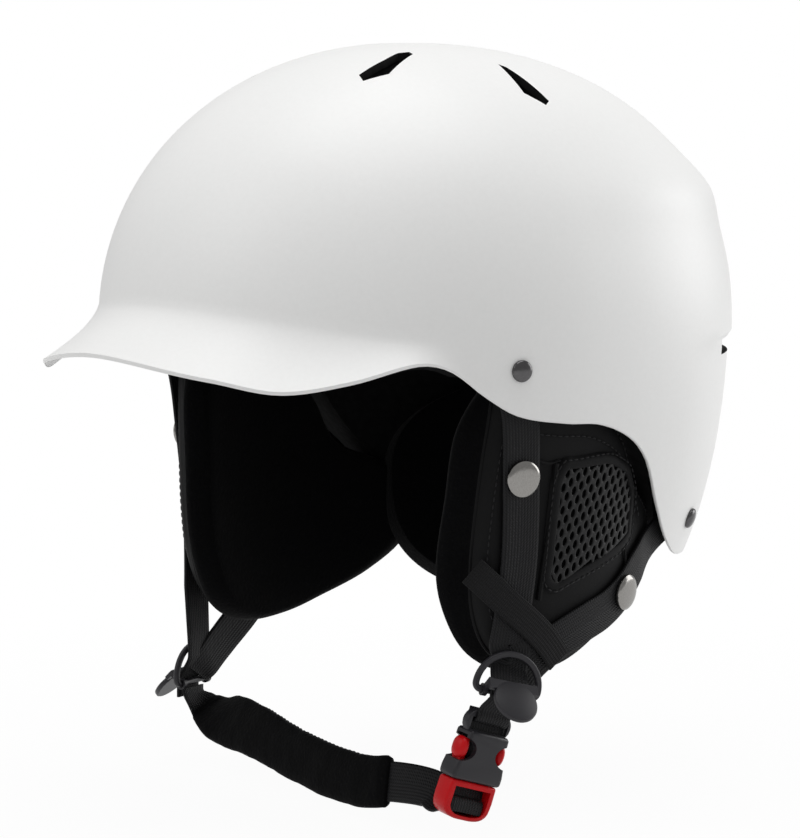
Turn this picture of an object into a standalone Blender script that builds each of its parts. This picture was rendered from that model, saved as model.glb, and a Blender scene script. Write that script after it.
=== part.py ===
"""Ski helmet with a moulded shell, foam liner, ear pads, riveted harness and a side release buckle.

Metres, +Z up. The wearer looks along -Y and +X is the wearer's left. The origin is on the symmetry
plane at the shell's widest level, in the middle of the head space.
"""
import math

import bmesh
import bpy
from mathutils import Matrix, Vector

MM = 0.001
CLEAR = 0.3 * MM

# Shell
SHELL_FRONT = 121.0 * MM
SHELL_REAR = 134.0 * MM
SHELL_HALF_WIDTH = 109.0 * MM
SHELL_CROWN = 107.2 * MM
SHELL_TAPER_DEPTH = 175.0 * MM
SHELL_WALL = 3.0 * MM
SHOULDER_SWELL = 0.026
SHOULDER_HEIGHT = 52.0 * MM
SHOULDER_SPREAD = 11.0 * MM
SHELL_COLUMNS = 48
UPPER_ROWS = (0, 11, 22, 32, 43, 55, 67, 79)

# Lower edge of the shell: degrees round from the front, height
SHELL_EDGE = ((0, -2.0), (20, -8.8), (30, -13.0), (40, -9.9), (51, -4.2), (57, -6.8), (64, -17.0),
              (71, -24.6), (82, -28.4), (91, -30.0), (100, -36.5), (106, -46.0), (112, -62.5), (120, -77.5),
              (131, -87.5), (150, -88.0), (180, -84.0))
# Level where the brim leaves the dome, which runs on round the back as the ledge over the recess
SHELL_BELT = ((0, 14.0), (20, 11.5), (35, 8.0), (46, 5.0), (60, 2.0), (90, -4.0), (118, -6.0),
              (134, -3.5), (180, -3.5))
BRIM_REACH = 27.0 * MM
BRIM_HALF_ANGLE = 60.0
BRIM_CURVE = 1.45
RECESS_DEPTH = 1.4 * MM
RECESS_START = 117.0
RECESS_FULL = 134.0
LEDGE_DROP = 2.0 * MM
SLOT_FROM = 14.0 * MM
SLOT_TO = 87.0 * MM
SLOT_HEIGHT = 6.0 * MM

# Crown vents: a blade outline with its point towards the crown
VENT_LENGTH = 31.0 * MM
VENT_WIDTH = 8.4 * MM
FRONT_VENT_TIP = (20.0 * MM, -13.4 * MM)
FRONT_VENT_HEADING = -74.5
SIDE_VENT_TIP = (40.4 * MM, 12.2 * MM)
SIDE_VENT_HEADING = 0.0

# Foam liner
FOAM_THICKNESS = 20.0 * MM
FOAM_GAP = 0.6 * MM
FOAM_BROW_DROP = 3.0 * MM
FOAM_REAR_RISE = 1.0 * MM
EAR_TUCK = 9.0 * MM
EAR_TOP_GAP = 1.2 * MM
STRAP_POCKET = 5.2 * MM

# Comfort pads
PAD_THICKNESS = 8.0 * MM
PAD_GAP = 0.7 * MM
CROWN_PAD_LENGTH = 112.0 * MM
CROWN_PAD_WIDTH = 84.0 * MM
BROW_PAD_HEIGHT = 32.0 * MM
SIDE_PAD_HEIGHT = 38.0 * MM
NAPE_PAD_BOTTOM = -103.0 * MM
NAPE_PAD_TOP = -34.0 * MM
NAPE_PAD_HALF_ANGLE = 46.0
NAPE_PAD_THINNING = 0.7

# Ear pads
EAR_HALF_WIDTH = SHELL_HALF_WIDTH - 7.0 * MM
EAR_FRONT = 113.0 * MM
EAR_REAR = 105.0 * MM
EAR_TAPER = 0.09
EAR_TAPER_START = -24.0 * MM
EAR_THICKNESS = 22.0 * MM
EAR_ROLL = 6.5
EAR_INNER_ROLL = 0.45
# Free outline of the ear pad, from the rear under the lobe to the front: degrees from the front, height
EAR_OUTLINE = ((117.0, -76), (115.0, -91), (108.0, -104), (98.0, -112.5), (87.0, -119), (76.0, -120.5),
               (68.0, -112.5), (64.2, -98), (63.6, -80), (64.8, -55), (66.5, -32))
EAR_TOP_FROM = 69.0
EAR_TOP_TO = 113.0

# Net window of the ear pad: degrees from the front, height
NET_FRONT_TOP = (83.6, -45.5)
NET_FRONT_FOOT = (81.4, -91.0)
NET_REAR_TOP = (97.5, -45.5)
NET_REAR_BEND = (106.5, -56.0)
NET_REAR_FOOT = (106.4, -76.0)
NET_COLUMNS = 6
NET_ROWS = 6
NET_THICKNESS = 1.2 * MM
NET_BAR = 0.72

# Webbing
WEB_WIDTH = 15.0 * MM
WEB_THICKNESS = 1.3 * MM
WEB_UNDER_SHELL = 1.0 * MM
KEEPER_WIDTH = 12.0 * MM
KEEPER_THICKNESS = 1.0 * MM
# Routes of the webbing on the ear pad: degrees from the front, height
FRONT_ROUTE = ((71.3, 2), (71.2, -8.5), (71.8, -18), (72.8, -28), (73.4, -48.2), (73.8, -64), (73.8, -80),
               (72.8, -98), (71.8, -110))
REAR_ROUTE = ((136.0, -72.0), (131.3, -73.9), (124.5, -76.8), (117.5, -82), (112, -89), (106.7, -96.3),
              (100.5, -102.5), (94.4, -107), (87, -111.5), (80.5, -116))
KEEPER_ROUTE = ((64.2, -82.5), (68, -87), (72.8, -93.5), (78.5, -101.5), (84, -109.5), (88, -115.5))
FRONT_RIVET = (71.2, -8.5)
REAR_RIVET = (131.3, -73.9)
FRONT_SNAP = (73.4, -48.2)
REAR_SNAP = (106.7, -96.3)
RIVET_HEAD_RADIUS = 4.0 * MM
RIVET_HEAD_HEIGHT = 2.0 * MM
RIVET_SHANK_RADIUS = 1.8 * MM
WASHER_RADIUS = 5.5 * MM
WASHER_THICKNESS = 0.8 * MM
SNAP_RADIUS = 6.75 * MM
SNAP_HEIGHT = 2.2 * MM
SNAP_GAP = 0.6 * MM
SNAP_POST_RADIUS = 1.8 * MM
SNAP_STUD_RADIUS = 5.0 * MM
SNAP_STUD_HEIGHT = 1.2 * MM

# Strap dividers: a D ring whose straight bar carries a round flap
RING_ANGLE = 70.8
RING_LEVEL = {"left": -127.5 * MM, "right": -148.5 * MM}
RING_ROLL = {"left": 14.0, "right": 0.0}
RING_WIDTH = 27.6 * MM
RING_HEIGHT = 14.5 * MM
RING_BAR_RADIUS = 1.2 * MM
RIGHT_TAIL = 6.0 * MM
RING_CORNER = 2.4 * MM
FLAP_RADIUS = 8.6 * MM
FLAP_THICKNESS = 2.0 * MM
FLAP_TILT = 45.0
FLAP_RISE = 5.0 * MM
FLAP_START = -0.6 * MM
KNUCKLE_LENGTH = 1.7 * MM
KNUCKLE_SIDE_GAP = 0.6 * MM
KNUCKLE_WALL = 0.8 * MM

# Side release buckle: its mouth, its pull direction and its face direction
BUCKLE_MOUTH = Vector((85.6, -43.6, -159.2)) * MM
BUCKLE_PULL = Vector((-0.129, -0.289, -0.949))
BUCKLE_FACE = Vector((0.9945, -0.1045, 0.0))
SOCKET_WIDTH = 22.5 * MM
SOCKET_THICKNESS = 10.0 * MM
SOCKET_LENGTH = 18.5 * MM
SOCKET_WALL = 1.7 * MM
SOCKET_FRAME_LENGTH = 8.0 * MM
SOCKET_FRAME_WIDTH = 20.4 * MM
BUCKLE_BAR = 3.2 * MM
NOTCH_START = 7.0 * MM
NOTCH_LENGTH = 8.5 * MM
NOTCH_DEPTH = 4.8 * MM
PLUG_WIDTH = 21.0 * MM
PLUG_LENGTH = 11.2 * MM
PLUG_THICKNESS = 8.6 * MM
PLUG_BASE = 4.0 * MM
PRONG_WIDTH = 2.5 * MM
PRONG_THICKNESS = 4.8 * MM
PRONG_BARB = 1.4 * MM
PRONG_LENGTH = 15.2 * MM
PRONG_SEAT = 0.1 * MM

# Chin strap: centre line and width direction, from the right divider to the plug
CHIN_ROUTE = (((-83.5, -28.5, -160.5), (0.3, 0.85, 0.4)), ((-66, -32, -161.5), (0.2, 0.55, 0.82)),
              ((-45, -36.5, -162), (0.1, 0.4, 0.91)), ((-12, -43, -165.5), (0, 0.27, 0.96)),
              ((15, -47.5, -167.2), (0, 0.22, 0.97)), ((35, -49.5, -167), (0, 0.22, 0.97)),
              ((50, -50.3, -164.5), (-0.05, 0.25, 0.96)), ((63, -48.5, -164), (0, 0.5, 0.86)))
# The same beside the plug: rearwards, outwards and along the pull from the mouth, with the twist left
CHIN_TURN = ((-3.5, -13.0, 8.4, 62.0), (-1.8, -8.8, 11.2, 28.0), (-0.4, -5.2, 12.4, 4.0))
CHIN_PAD_FROM = -73.0 * MM
CHIN_PAD_TO = 50.0 * MM
CHIN_PAD_WIDTH = 19.5 * MM
CHIN_PAD_THICKNESS = 7.0 * MM

SIDES = (("left", 1), ("right", -1))


# Shape helpers

def smooth_step(value, low, high):
    share = min(max((value - low) / (high - low), 0.0), 1.0)
    return share * share * (3 - 2 * share)


def through(stations, at):
    """Smooth curve through (position, value) stations."""
    last = len(stations) - 1
    index = 0
    while index < last - 1 and at > stations[index + 1][0]:
        index += 1
    (x0, y0), (x1, y1) = stations[index], stations[index + 1]
    before = stations[max(index - 1, 0)]
    after = stations[min(index + 2, last)]
    slope0 = (y1 - before[1]) / (x1 - before[0])
    slope1 = (after[1] - y0) / (after[0] - x0)
    span = x1 - x0
    t = min(max((at - x0) / span, 0.0), 1.0)
    return ((2 * t ** 3 - 3 * t ** 2 + 1) * y0 + (t ** 3 - 2 * t ** 2 + t) * span * slope0
            + (3 * t ** 2 - 2 * t ** 3) * y1 + (t ** 3 - t ** 2) * span * slope1)


def curve_points(points, count, closed=False):
    """Catmull-Rom curve through points of any dimension, as count points."""
    points = [Vector(p) for p in points]
    total = len(points)
    spans = total if closed else total - 1
    result = []
    for step in range(count):
        place = step * spans / (count if closed else count - 1)
        index = min(int(place), spans - 1)
        t = place - index
        picks = []
        for shift in (-1, 0, 1, 2):
            wanted = index + shift
            picks.append(points[wanted % total] if closed else points[min(max(wanted, 0), total - 1)])
        a, b, c, d = picks
        result.append(0.5 * ((2 * b) + (c - a) * t + (2 * a - 5 * b + 4 * c - d) * t * t
                             + (3 * b - a - 3 * c + d) * t ** 3))
    return result


def plan_radius(angle):
    front = math.cos(angle) > 0
    reach = SHELL_FRONT if front else SHELL_REAR
    power = 2.0 if front else 2.25
    across = abs(math.sin(angle) / SHELL_HALF_WIDTH) ** power
    along = abs(math.cos(angle) / reach) ** power
    return (across + along) ** (-1 / power)


def dome_radius(angle, z):
    """Radius of the bare dome, without brim or recess."""
    turn = abs(math.degrees(math.atan2(math.sin(angle), math.cos(angle))))
    rear = smooth_step(turn, 70, 140)
    if z < 0:
        share = math.sqrt(1 - (z / SHELL_TAPER_DEPTH) ** 2)
    else:
        power = 2.08 + 0.12 * rear
        share = max(1 - (min(z / SHELL_CROWN, 1.0)) ** power, 0.0) ** (1 / power)
        share += rear * SHOULDER_SWELL * math.exp(-((z - SHOULDER_HEIGHT) / SHOULDER_SPREAD) ** 2)
    return plan_radius(angle) * share


def polar(angle, radius, z):
    return Vector((radius * math.sin(angle), -radius * math.cos(angle), z))


def turn_of(angle):
    """Degrees from the front, the same on both sides."""
    return abs(math.degrees(math.atan2(math.sin(angle), math.cos(angle))))


def edge_height(turn):
    return through(SHELL_EDGE, turn) * MM


def belt_height(turn):
    return through(SHELL_BELT, turn) * MM


def brim_reach(turn):
    share = min(turn / BRIM_HALF_ANGLE, 1.0)
    return BRIM_REACH * (1 - share ** 2.2) ** 1.3


def flared_radius(angle, z):
    """Radius of the dome with the brim's flare below the belt."""
    turn = turn_of(angle)
    low = edge_height(turn)
    high = belt_height(turn)
    share = min(max((high - z) / (high - low), 0.0), 1.15)
    return dome_radius(angle, z) + brim_reach(turn) * share ** BRIM_CURVE


def recess(turn, z):
    """Depth of the rear recess just below its ledge, fading towards the lower edge."""
    low = edge_height(turn)
    share = (z - low) / (belt_height(turn) - low)
    return RECESS_DEPTH * smooth_step(turn, RECESS_START, RECESS_FULL) * smooth_step(share, -0.1, 0.8)


def recess_inside(turn, z):
    """The same recess on the inner face, where it starts gently above the ledge."""
    fade = 1 - smooth_step(z, belt_height(turn) + 2 * MM, belt_height(turn) + 16 * MM)
    return recess(turn, min(z, belt_height(turn))) * fade


def surface_point(radius, angle, z, depth):
    """Point under a surface of revolution-like radius(angle, z), depth metres along its normal."""
    step = 0.02
    lift = 0.6 * MM
    here = polar(angle, radius(angle, z), z)
    if z > SHELL_CROWN - 1.0 * MM:
        return here - Vector((0, 0, depth))
    ahead, behind = angle + step, angle - step
    above, below = z + lift, z - lift
    round_it = polar(ahead, radius(ahead, z), z) - polar(behind, radius(behind, z), z)
    upward = polar(angle, radius(angle, above), above) - polar(angle, radius(angle, below), below)
    normal = round_it.cross(upward).normalized()
    return here - normal * depth


def dome_point(angle, z, depth):
    return surface_point(dome_radius, angle, z, depth)


def under_dome(x, y, depth):
    """Height of the offset dome above a point of the plan."""
    angle = math.atan2(x, -y)
    wanted = math.hypot(x, y)
    low, high = 0.0, SHELL_CROWN
    for _ in range(40):
        middle = (low + high) / 2
        point = dome_point(angle, middle, depth)
        if math.hypot(point.x, point.y) > wanted:
            low = middle
        else:
            high = middle
    return dome_point(angle, low, depth).z


def ear_point(turn, z, lift, side=1):
    """Point on the ear pad's outer face, lift metres outside it."""
    angle = math.radians(turn)
    reach = EAR_FRONT if math.cos(angle) > 0 else EAR_REAR
    radius = 1 / math.hypot(math.sin(angle) / EAR_HALF_WIDTH, math.cos(angle) / reach)
    radius -= EAR_TAPER * max(EAR_TAPER_START - z, 0.0)
    point = polar(angle, radius + lift, z)
    point.x *= side
    return point


def mirrored(point, side):
    return Vector((point.x * side, point.y, point.z))


# Mesh helpers

def material(name, colour, roughness, metallic=0.0):
    made = bpy.data.materials.new(name)
    made.use_nodes = True
    shader = made.node_tree.nodes["Principled BSDF"]
    shader.inputs["Base Color"].default_value = (*colour, 1.0)
    shader.inputs["Roughness"].default_value = roughness
    shader.inputs["Metallic"].default_value = metallic
    made.diffuse_color = (*colour, 1.0)
    return made


def solid(name, points, faces, finish=None):
    """Closed mesh object with its faces pointing out."""
    mesh = bpy.data.meshes.new(name)
    mesh.from_pydata([tuple(p) for p in points], [], faces)
    shape = bmesh.new()
    shape.from_mesh(mesh)
    bmesh.ops.remove_doubles(shape, verts=shape.verts, dist=0.001 * MM)
    bmesh.ops.recalc_face_normals(shape, faces=shape.faces)
    bmesh.ops.triangulate(shape, faces=shape.faces, quad_method="SHORT_EDGE")
    shape.to_mesh(mesh)
    shape.free()
    mesh.shade_smooth()
    mesh.set_sharp_from_angle(angle=math.radians(40))
    made = bpy.data.objects.new(name, mesh)
    bpy.context.scene.collection.objects.link(made)
    if finish:
        mesh.materials.append(finish)
    return made


def hinge_at(shape, point):
    """Moves an object's origin to a point of its hinge axis without moving the object."""
    shape.data.transform(Matrix.Translation(-point))
    shape.location = point


def tool(shape):
    shape.hide_render = True
    shape.display_type = "WIRE"
    return shape


def boolean(target, operand, operation="DIFFERENCE"):
    change = target.modifiers.new(operation.title(), "BOOLEAN")
    change.operation = operation
    change.solver = "EXACT"
    change.object = tool(operand)


def bevel(target, width, segments=2):
    rounding = target.modifiers.new("Bevel", "BEVEL")
    rounding.width = width
    rounding.segments = segments
    rounding.limit_method = "ANGLE"
    rounding.angle_limit = math.radians(40)


def rings_to_faces(rings, count, closed_rings=False):
    """Quads between rings of count points, stored one after the other."""
    faces = []
    total = rings if closed_rings else rings - 1
    for ring in range(total):
        nxt = (ring + 1) % rings
        for k in range(count):
            after = (k + 1) % count
            faces.append((ring * count + k, ring * count + after, nxt * count + after, nxt * count + k))
    return faces


def turned(name, profile, base, axis, finish=None, sides=24):
    """Solid of revolution: profile of (radius, height) from the axis at the foot to the axis at the top."""
    frame = axis.to_track_quat("Z", "Y").to_matrix()
    points = []
    inner = [p for p in profile if p[0] > 0]
    for radius, height in inner:
        for k in range(sides):
            angle = 2 * math.pi * k / sides
            points.append(base + frame @ Vector((radius * math.cos(angle), radius * math.sin(angle), height)))
    faces = rings_to_faces(len(inner), sides)
    for end, ring in ((profile[0], 0), (profile[-1], len(inner) - 1)):
        points.append(base + frame @ Vector((0, 0, end[1])))
        centre = len(points) - 1
        faces += [(ring * sides + k, ring * sides + (k + 1) % sides, centre) for k in range(sides)]
    return solid(name, points, faces, finish)


def washer(name, inner, outer, foot, top, base, axis, finish, sides=14):
    frame = axis.to_track_quat("Z", "Y").to_matrix()
    points = []
    for radius, height in ((outer, foot), (outer, top), (inner, top), (inner, foot)):
        for k in range(sides):
            angle = 2 * math.pi * k / sides
            points.append(base + frame @ Vector((radius * math.cos(angle), radius * math.sin(angle), height)))
    return solid(name, points, rings_to_faces(4, sides, True), finish)


def post(name, radius, foot, top, base, axis, sides=16):
    return turned(name, ((0, foot), (radius, foot), (radius, top), (0, top)), base, axis, None, sides)


def block(name, low, high, frame, finish=None):
    """Box between two corners in a local frame, given as a 4 by 4 matrix."""
    spans = [(low[axis], high[axis]) for axis in range(3)]
    corners = [Vector((x, y, z)) for x in spans[0] for y in spans[1] for z in spans[2]]
    faces = [(0, 1, 3, 2), (4, 6, 7, 5), (0, 4, 5, 1), (2, 3, 7, 6), (0, 2, 6, 4), (1, 5, 7, 3)]
    return solid(name, [frame @ c for c in corners], faces, finish)


def prism(name, outline, low, high, frame, finish=None):
    """Outline in the local XZ plane, drawn out along local Y."""
    count = len(outline)
    points = [frame @ Vector((x, y, z)) for y in (low, high) for x, z in outline]
    faces = rings_to_faces(2, count)
    faces.append(tuple(range(count)))
    faces.append(tuple(range(count, 2 * count)))
    return solid(name, points, faces, finish)


def webbing(name, centres, widths, finish, width=WEB_WIDTH, thickness=WEB_THICKNESS):
    """Flat strap through centres, with a width direction at each."""
    points = []
    last = len(centres) - 1
    for k, centre in enumerate(centres):
        along = (centres[min(k + 1, last)] - centres[max(k - 1, 0)]).normalized()
        across = (widths[k] - along * widths[k].dot(along)).normalized()
        up = along.cross(across).normalized()
        for a, b in ((-1, -1), (1, -1), (1, 1), (-1, 1)):
            points.append(centre + across * (a * width / 2) + up * (b * thickness / 2))
    faces = rings_to_faces(len(centres), 4)
    faces += [(0, 1, 2, 3), (4 * last, 4 * last + 1, 4 * last + 2, 4 * last + 3)]
    return solid(name, points, faces, finish)


def cushion(name, outline, place, thickness, finish, roll=7.0 * MM, inner_roll=1.0):
    """Crowned pad: rings of its outline drawn in towards the middle on both faces.

    outline holds (across, up) points and place(across, up, depth) sets a point below the outer face.
    inner_roll is the share of the roll on the face towards the head.
    """
    count = len(outline)
    middle = sum((Vector(p) for p in outline), Vector((0, 0))) / count
    reach = sum((Vector(p) - middle).length for p in outline) / count
    profile = []
    for angle in (-90, -55, -20, 20, 55, 90):
        inset = roll * (1 - math.cos(math.radians(angle))) * (inner_roll if angle < 0 else 1.0)
        depth = thickness / 2 * (1 - 0.94 * math.sin(math.radians(angle)))
        profile.append((1 - inset / reach * 0.8, depth))
    flat = 1 - roll / reach
    inner_flat = 1 - inner_roll * roll / reach
    profile = [(inner_flat * 0.5, thickness * 0.985)] + profile + [(flat * 0.5, thickness * 0.015)]
    points = []
    for share, depth in profile:
        for p in outline:
            spot = middle + (Vector(p) - middle) * share
            points.append(place(spot[0], spot[1], depth))
    faces = rings_to_faces(len(profile), count)
    for ring, depth in ((0, thickness), (len(profile) - 1, 0.0)):
        points.append(place(middle[0], middle[1], depth))
        faces += [(ring * count + k, ring * count + (k + 1) % count, len(points) - 1) for k in range(count)]
    return solid(name, points, faces, finish)


def oval_band(across, low, high, count, power=4.0):
    """Rounded band outline between +-across and two heights."""
    points = []
    for k in range(count):
        angle = 2 * math.pi * k / count
        c, s = math.cos(angle), math.sin(angle)
        x = across * math.copysign(abs(c) ** (2 / power), c)
        y = (low + high) / 2 + (high - low) / 2 * math.copysign(abs(s) ** (2 / power), s)
        points.append((x, y))
    return points


# Shell and liner

def shell_rows(turn):
    """Heights of the shell's rows at one column, from the lower edge to near the crown."""
    low = edge_height(turn)
    belt = belt_height(turn)
    ledge = belt - LEDGE_DROP
    rows = [low + (ledge - low) * share for share in (0, 0.14, 0.4, 0.7, 1)]
    rows += [belt + (SHELL_CROWN - belt) * math.sin(math.radians(a)) for a in UPPER_ROWS]
    return rows


def vent_outline(tip, heading, kink_side):
    """Blade outline of one vent in plan."""
    shape = ((0, 0), (0.09, 0.16), (0.93, 0.14), (1.0, -0.22), (0.75, -0.84), (0.36, -0.46))
    turn = math.radians(heading)
    along = Vector((math.cos(turn), math.sin(turn)))
    across = Vector((-along.y, along.x)) * kink_side
    return [Vector(tip) + along * u * VENT_LENGTH + across * v * VENT_WIDTH for u, v in shape]


def vent_cutter(name, grow):
    """All four vents as one cutter, grown sideways by grow."""
    points = []
    faces = []
    vents = ((FRONT_VENT_TIP, FRONT_VENT_HEADING, -1), (SIDE_VENT_TIP, SIDE_VENT_HEADING, 1))
    for side in (1, -1):
        for tip, heading, kink in vents:
            outline = vent_outline(tip, heading, kink)
            middle = sum(outline, Vector((0, 0))) / len(outline)
            start = len(points)
            count = len(outline)
            for z in (0.4 * SHELL_CROWN, 1.2 * SHELL_CROWN):
                for p in outline:
                    q = p + (p - middle).normalized() * grow
                    points.append(Vector((q.x * side, q.y, z)))
            faces += [tuple(start + k for k in face) for face in rings_to_faces(2, count)]
            faces.append(tuple(range(start, start + count)))
            faces.append(tuple(range(start + count, start + 2 * count)))
    return solid(name, points, faces)


def make_shell(finish):
    outer = []
    inner = []
    count = SHELL_COLUMNS
    angles = [2 * math.pi * k / count for k in range(count)]
    columns = [shell_rows(turn_of(a)) for a in angles]
    levels = len(columns[0])
    for row in range(levels):
        for a, rows in zip(angles, columns):
            turn = turn_of(a)
            z = rows[row]
            radius = flared_radius(a, z)
            if z < belt_height(turn) - 0.5 * LEDGE_DROP:
                radius -= recess(turn, z)
            outer.append(polar(a, radius, z))
            inner.append(surface_point(flared_radius, a, z, SHELL_WALL + recess_inside(turn, z)))
    rim = []
    for k in range(count):
        middle = (outer[k] + inner[k]) / 2
        rim.append(middle - Vector((0, 0, 0.25 * SHELL_WALL)))
    rings = [inner[r * count:(r + 1) * count] for r in reversed(range(levels))]
    rings = rings + [rim] + [outer[r * count:(r + 1) * count] for r in range(levels)]
    points = [p for ring in rings for p in ring]
    faces = rings_to_faces(len(rings), count)
    for ring, height in ((0, SHELL_CROWN - SHELL_WALL), (len(rings) - 1, SHELL_CROWN)):
        points.append(Vector((0, 0, height)))
        faces += [(ring * count + k, ring * count + (k + 1) % count, len(points) - 1) for k in range(count)]
    shell = solid("outer_shell", points, faces, finish)
    boolean(shell, vent_cutter("shell_vent_cutter", 0.0))
    slot_top = belt_height(180) - LEDGE_DROP
    for side_name, side in SIDES:
        near, far = sorted((side * SLOT_FROM, side * SLOT_TO))
        slot = block(f"shell_slot_cutter_{side_name}", (near, 0.3 * SHELL_REAR, slot_top - SLOT_HEIGHT),
                     (far, 1.2 * SHELL_REAR, slot_top), Matrix.Identity(4))
        boolean(shell, slot)
        for end, (turn, level) in (("front", FRONT_RIVET), ("rear", REAR_RIVET)):
            base, axis = rivet_seat(turn, level, side)
            name = f"shell_rivet_hole_{end}_{side_name}"
            boolean(shell, post(name, RIVET_SHANK_RADIUS + CLEAR, -12 * MM, 8 * MM, base, axis))
    return shell


def foam_edge(turn):
    """Lower edge of the foam: below the rim at the brow, above the ear pads, above the rim at the nape."""
    brow = edge_height(max(turn, 44)) - FOAM_BROW_DROP
    ear = edge_height(turn) + EAR_TUCK + EAR_TOP_GAP
    rear = edge_height(turn) + FOAM_REAR_RISE
    to_ear = smooth_step(turn, 57, 66)
    to_rear = smooth_step(turn, 116, 130)
    return (brow * (1 - to_ear) + ear * to_ear) * (1 - to_rear) + rear * to_rear


def strap_pocket(turn, z):
    """Relief in the foam for the webbing ends and rivets."""
    front = smooth_step(turn, 60, 66) * (1 - smooth_step(turn, 77, 83))
    front *= 1 - smooth_step(z, 6 * MM, 16 * MM)
    rear = smooth_step(turn, 105, 112) * (1 - smooth_step(turn, 138, 146))
    rear *= 1 - smooth_step(z, -58 * MM, -46 * MM)
    return STRAP_POCKET * max(front, rear)


def foam_rows(turn):
    """Heights of the foam's rows at one column, level with the shell's rows above the belt."""
    low = foam_edge(turn)
    rows = shell_rows(turn)[-len(UPPER_ROWS):]
    first = rows[0]
    return [low + (first - low) * share for share in (0, 0.3, 0.65)] + rows


def make_foam(finish):
    count = SHELL_COLUMNS
    angles = [2 * math.pi * k / count for k in range(count)]
    columns = [foam_rows(turn_of(a)) for a in angles]
    outer_depth = SHELL_WALL + FOAM_GAP
    outer = []
    inner = []
    levels = len(columns[0])
    for row in range(levels):
        for a, rows in zip(angles, columns):
            turn = turn_of(a)
            z = rows[row]
            outer.append(dome_point(a, z, outer_depth + recess_inside(turn, z) + strap_pocket(turn, z)))
            inner.append(dome_point(a, z, outer_depth + FOAM_THICKNESS))
    rings = [inner[r * count:(r + 1) * count] for r in reversed(range(levels))]
    rings += [outer[r * count:(r + 1) * count] for r in range(levels)]
    points = [p for ring in rings for p in ring]
    faces = rings_to_faces(len(rings), count)
    for ring, depth in ((0, outer_depth + FOAM_THICKNESS), (len(rings) - 1, outer_depth)):
        points.append(Vector((0, 0, SHELL_CROWN - depth)))
        faces += [(ring * count + k, ring * count + (k + 1) % count, len(points) - 1) for k in range(count)]
    far = 2 * SHELL_REAR
    gap = CLEAR / 2
    for end, y_low, y_high in (("front", -far, -gap), ("rear", gap, far)):
        for side_name, side in SIDES:
            x_low, x_high = sorted((side * gap, side * far))
            name = f"foam_{end}_{side_name}"
            foam = solid(name, points, faces, finish)
            boolean(foam, vent_cutter(f"{name}_vent_cutter", 1.0 * MM))
            quarter = block(f"{name}_quarter", (x_low, y_low, -far), (x_high, y_high, far), Matrix.Identity(4))
            boolean(foam, quarter, "INTERSECT")


# Comfort pads

def make_comfort_pads(finish):
    seat = SHELL_WALL + FOAM_GAP + FOAM_THICKNESS + PAD_GAP

    def on_foam(centre, side=1):
        def place(across, up, depth):
            angle = math.radians(centre) + across
            return mirrored(dome_point(angle, up, seat + depth), side)
        return place

    brow_low = foam_edge(0) + 2 * MM
    cushion("brow_pad", oval_band(math.radians(50), brow_low, brow_low + BROW_PAD_HEIGHT, 28), on_foam(0),
            PAD_THICKNESS, finish, 4 * MM)
    for side_name, side in SIDES:
        low = foam_edge(90) + 3 * MM
        cushion(f"side_pad_{side_name}", oval_band(math.radians(25), low, low + SIDE_PAD_HEIGHT, 22),
                on_foam(88, side), PAD_THICKNESS, finish, 4 * MM)
    def on_nape(across, up, depth):
        thin = NAPE_PAD_THINNING * smooth_step(abs(math.degrees(across)), 20, 44)
        return dome_point(math.pi + across, up, seat + depth * (1 - thin))

    nape = oval_band(math.radians(NAPE_PAD_HALF_ANGLE), NAPE_PAD_BOTTOM, NAPE_PAD_TOP, 36)
    cushion("nape_pad", nape, on_nape, PAD_THICKNESS * 1.4, finish, 5 * MM)

    def on_crown(x, y, depth):
        return Vector((x, y, under_dome(x, y, seat) - depth))

    half_width = CROWN_PAD_WIDTH / 2
    half_length = CROWN_PAD_LENGTH / 2
    outline = [(x, y) for x, y in oval_band(half_width, -half_length, half_length, 24, 2.6)]
    cushion("crown_pad", outline, on_crown, PAD_THICKNESS, finish, 4 * MM)


# Ear pads

def ear_outline():
    """Closed outline of an ear pad as (radians, height): tucked under the rim, then free round the lobe."""
    top = []
    steps = 7
    for k in range(steps):
        turn = EAR_TOP_FROM + (EAR_TOP_TO - EAR_TOP_FROM) * k / (steps - 1)
        top.append((turn, (edge_height(turn) + EAR_TUCK) / MM))
    return curve_points(top + list(EAR_OUTLINE), 36, closed=True)


def snap_seat(turn, level, side):
    base = ear_point(turn, level * MM, 0, side)
    ahead = ear_point(turn + 1, level * MM, 0, side) - ear_point(turn - 1, level * MM, 0, side)
    upward = ear_point(turn, level * MM + MM, 0, side) - ear_point(turn, level * MM - MM, 0, side)
    return base, (ahead.cross(upward) * side).normalized()


def make_ear_pad(side_name, side, fabric, net):
    scale = EAR_HALF_WIDTH / MM
    outline = [(p[0], p[1] / scale * 180 / math.pi) for p in ear_outline()]

    def place(turn, up, depth):
        return ear_point(turn, up * scale * math.pi / 180 * MM, -depth, side)

    pad = cushion(f"ear_pad_{side_name}", outline, place, EAR_THICKNESS, fabric, EAR_ROLL, EAR_INNER_ROLL)
    for end, (turn, level) in (("front", FRONT_SNAP), ("rear", REAR_SNAP)):
        base, axis = snap_seat(turn, level, side)
        depth = SNAP_STUD_HEIGHT + 2.4 * MM
        pocket = post(f"stud_pocket_{end}_{side_name}", SNAP_STUD_RADIUS + CLEAR, -depth, 6 * MM, base, axis)
        boolean(pad, pocket)
    make_net(side_name, side, net)


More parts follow.
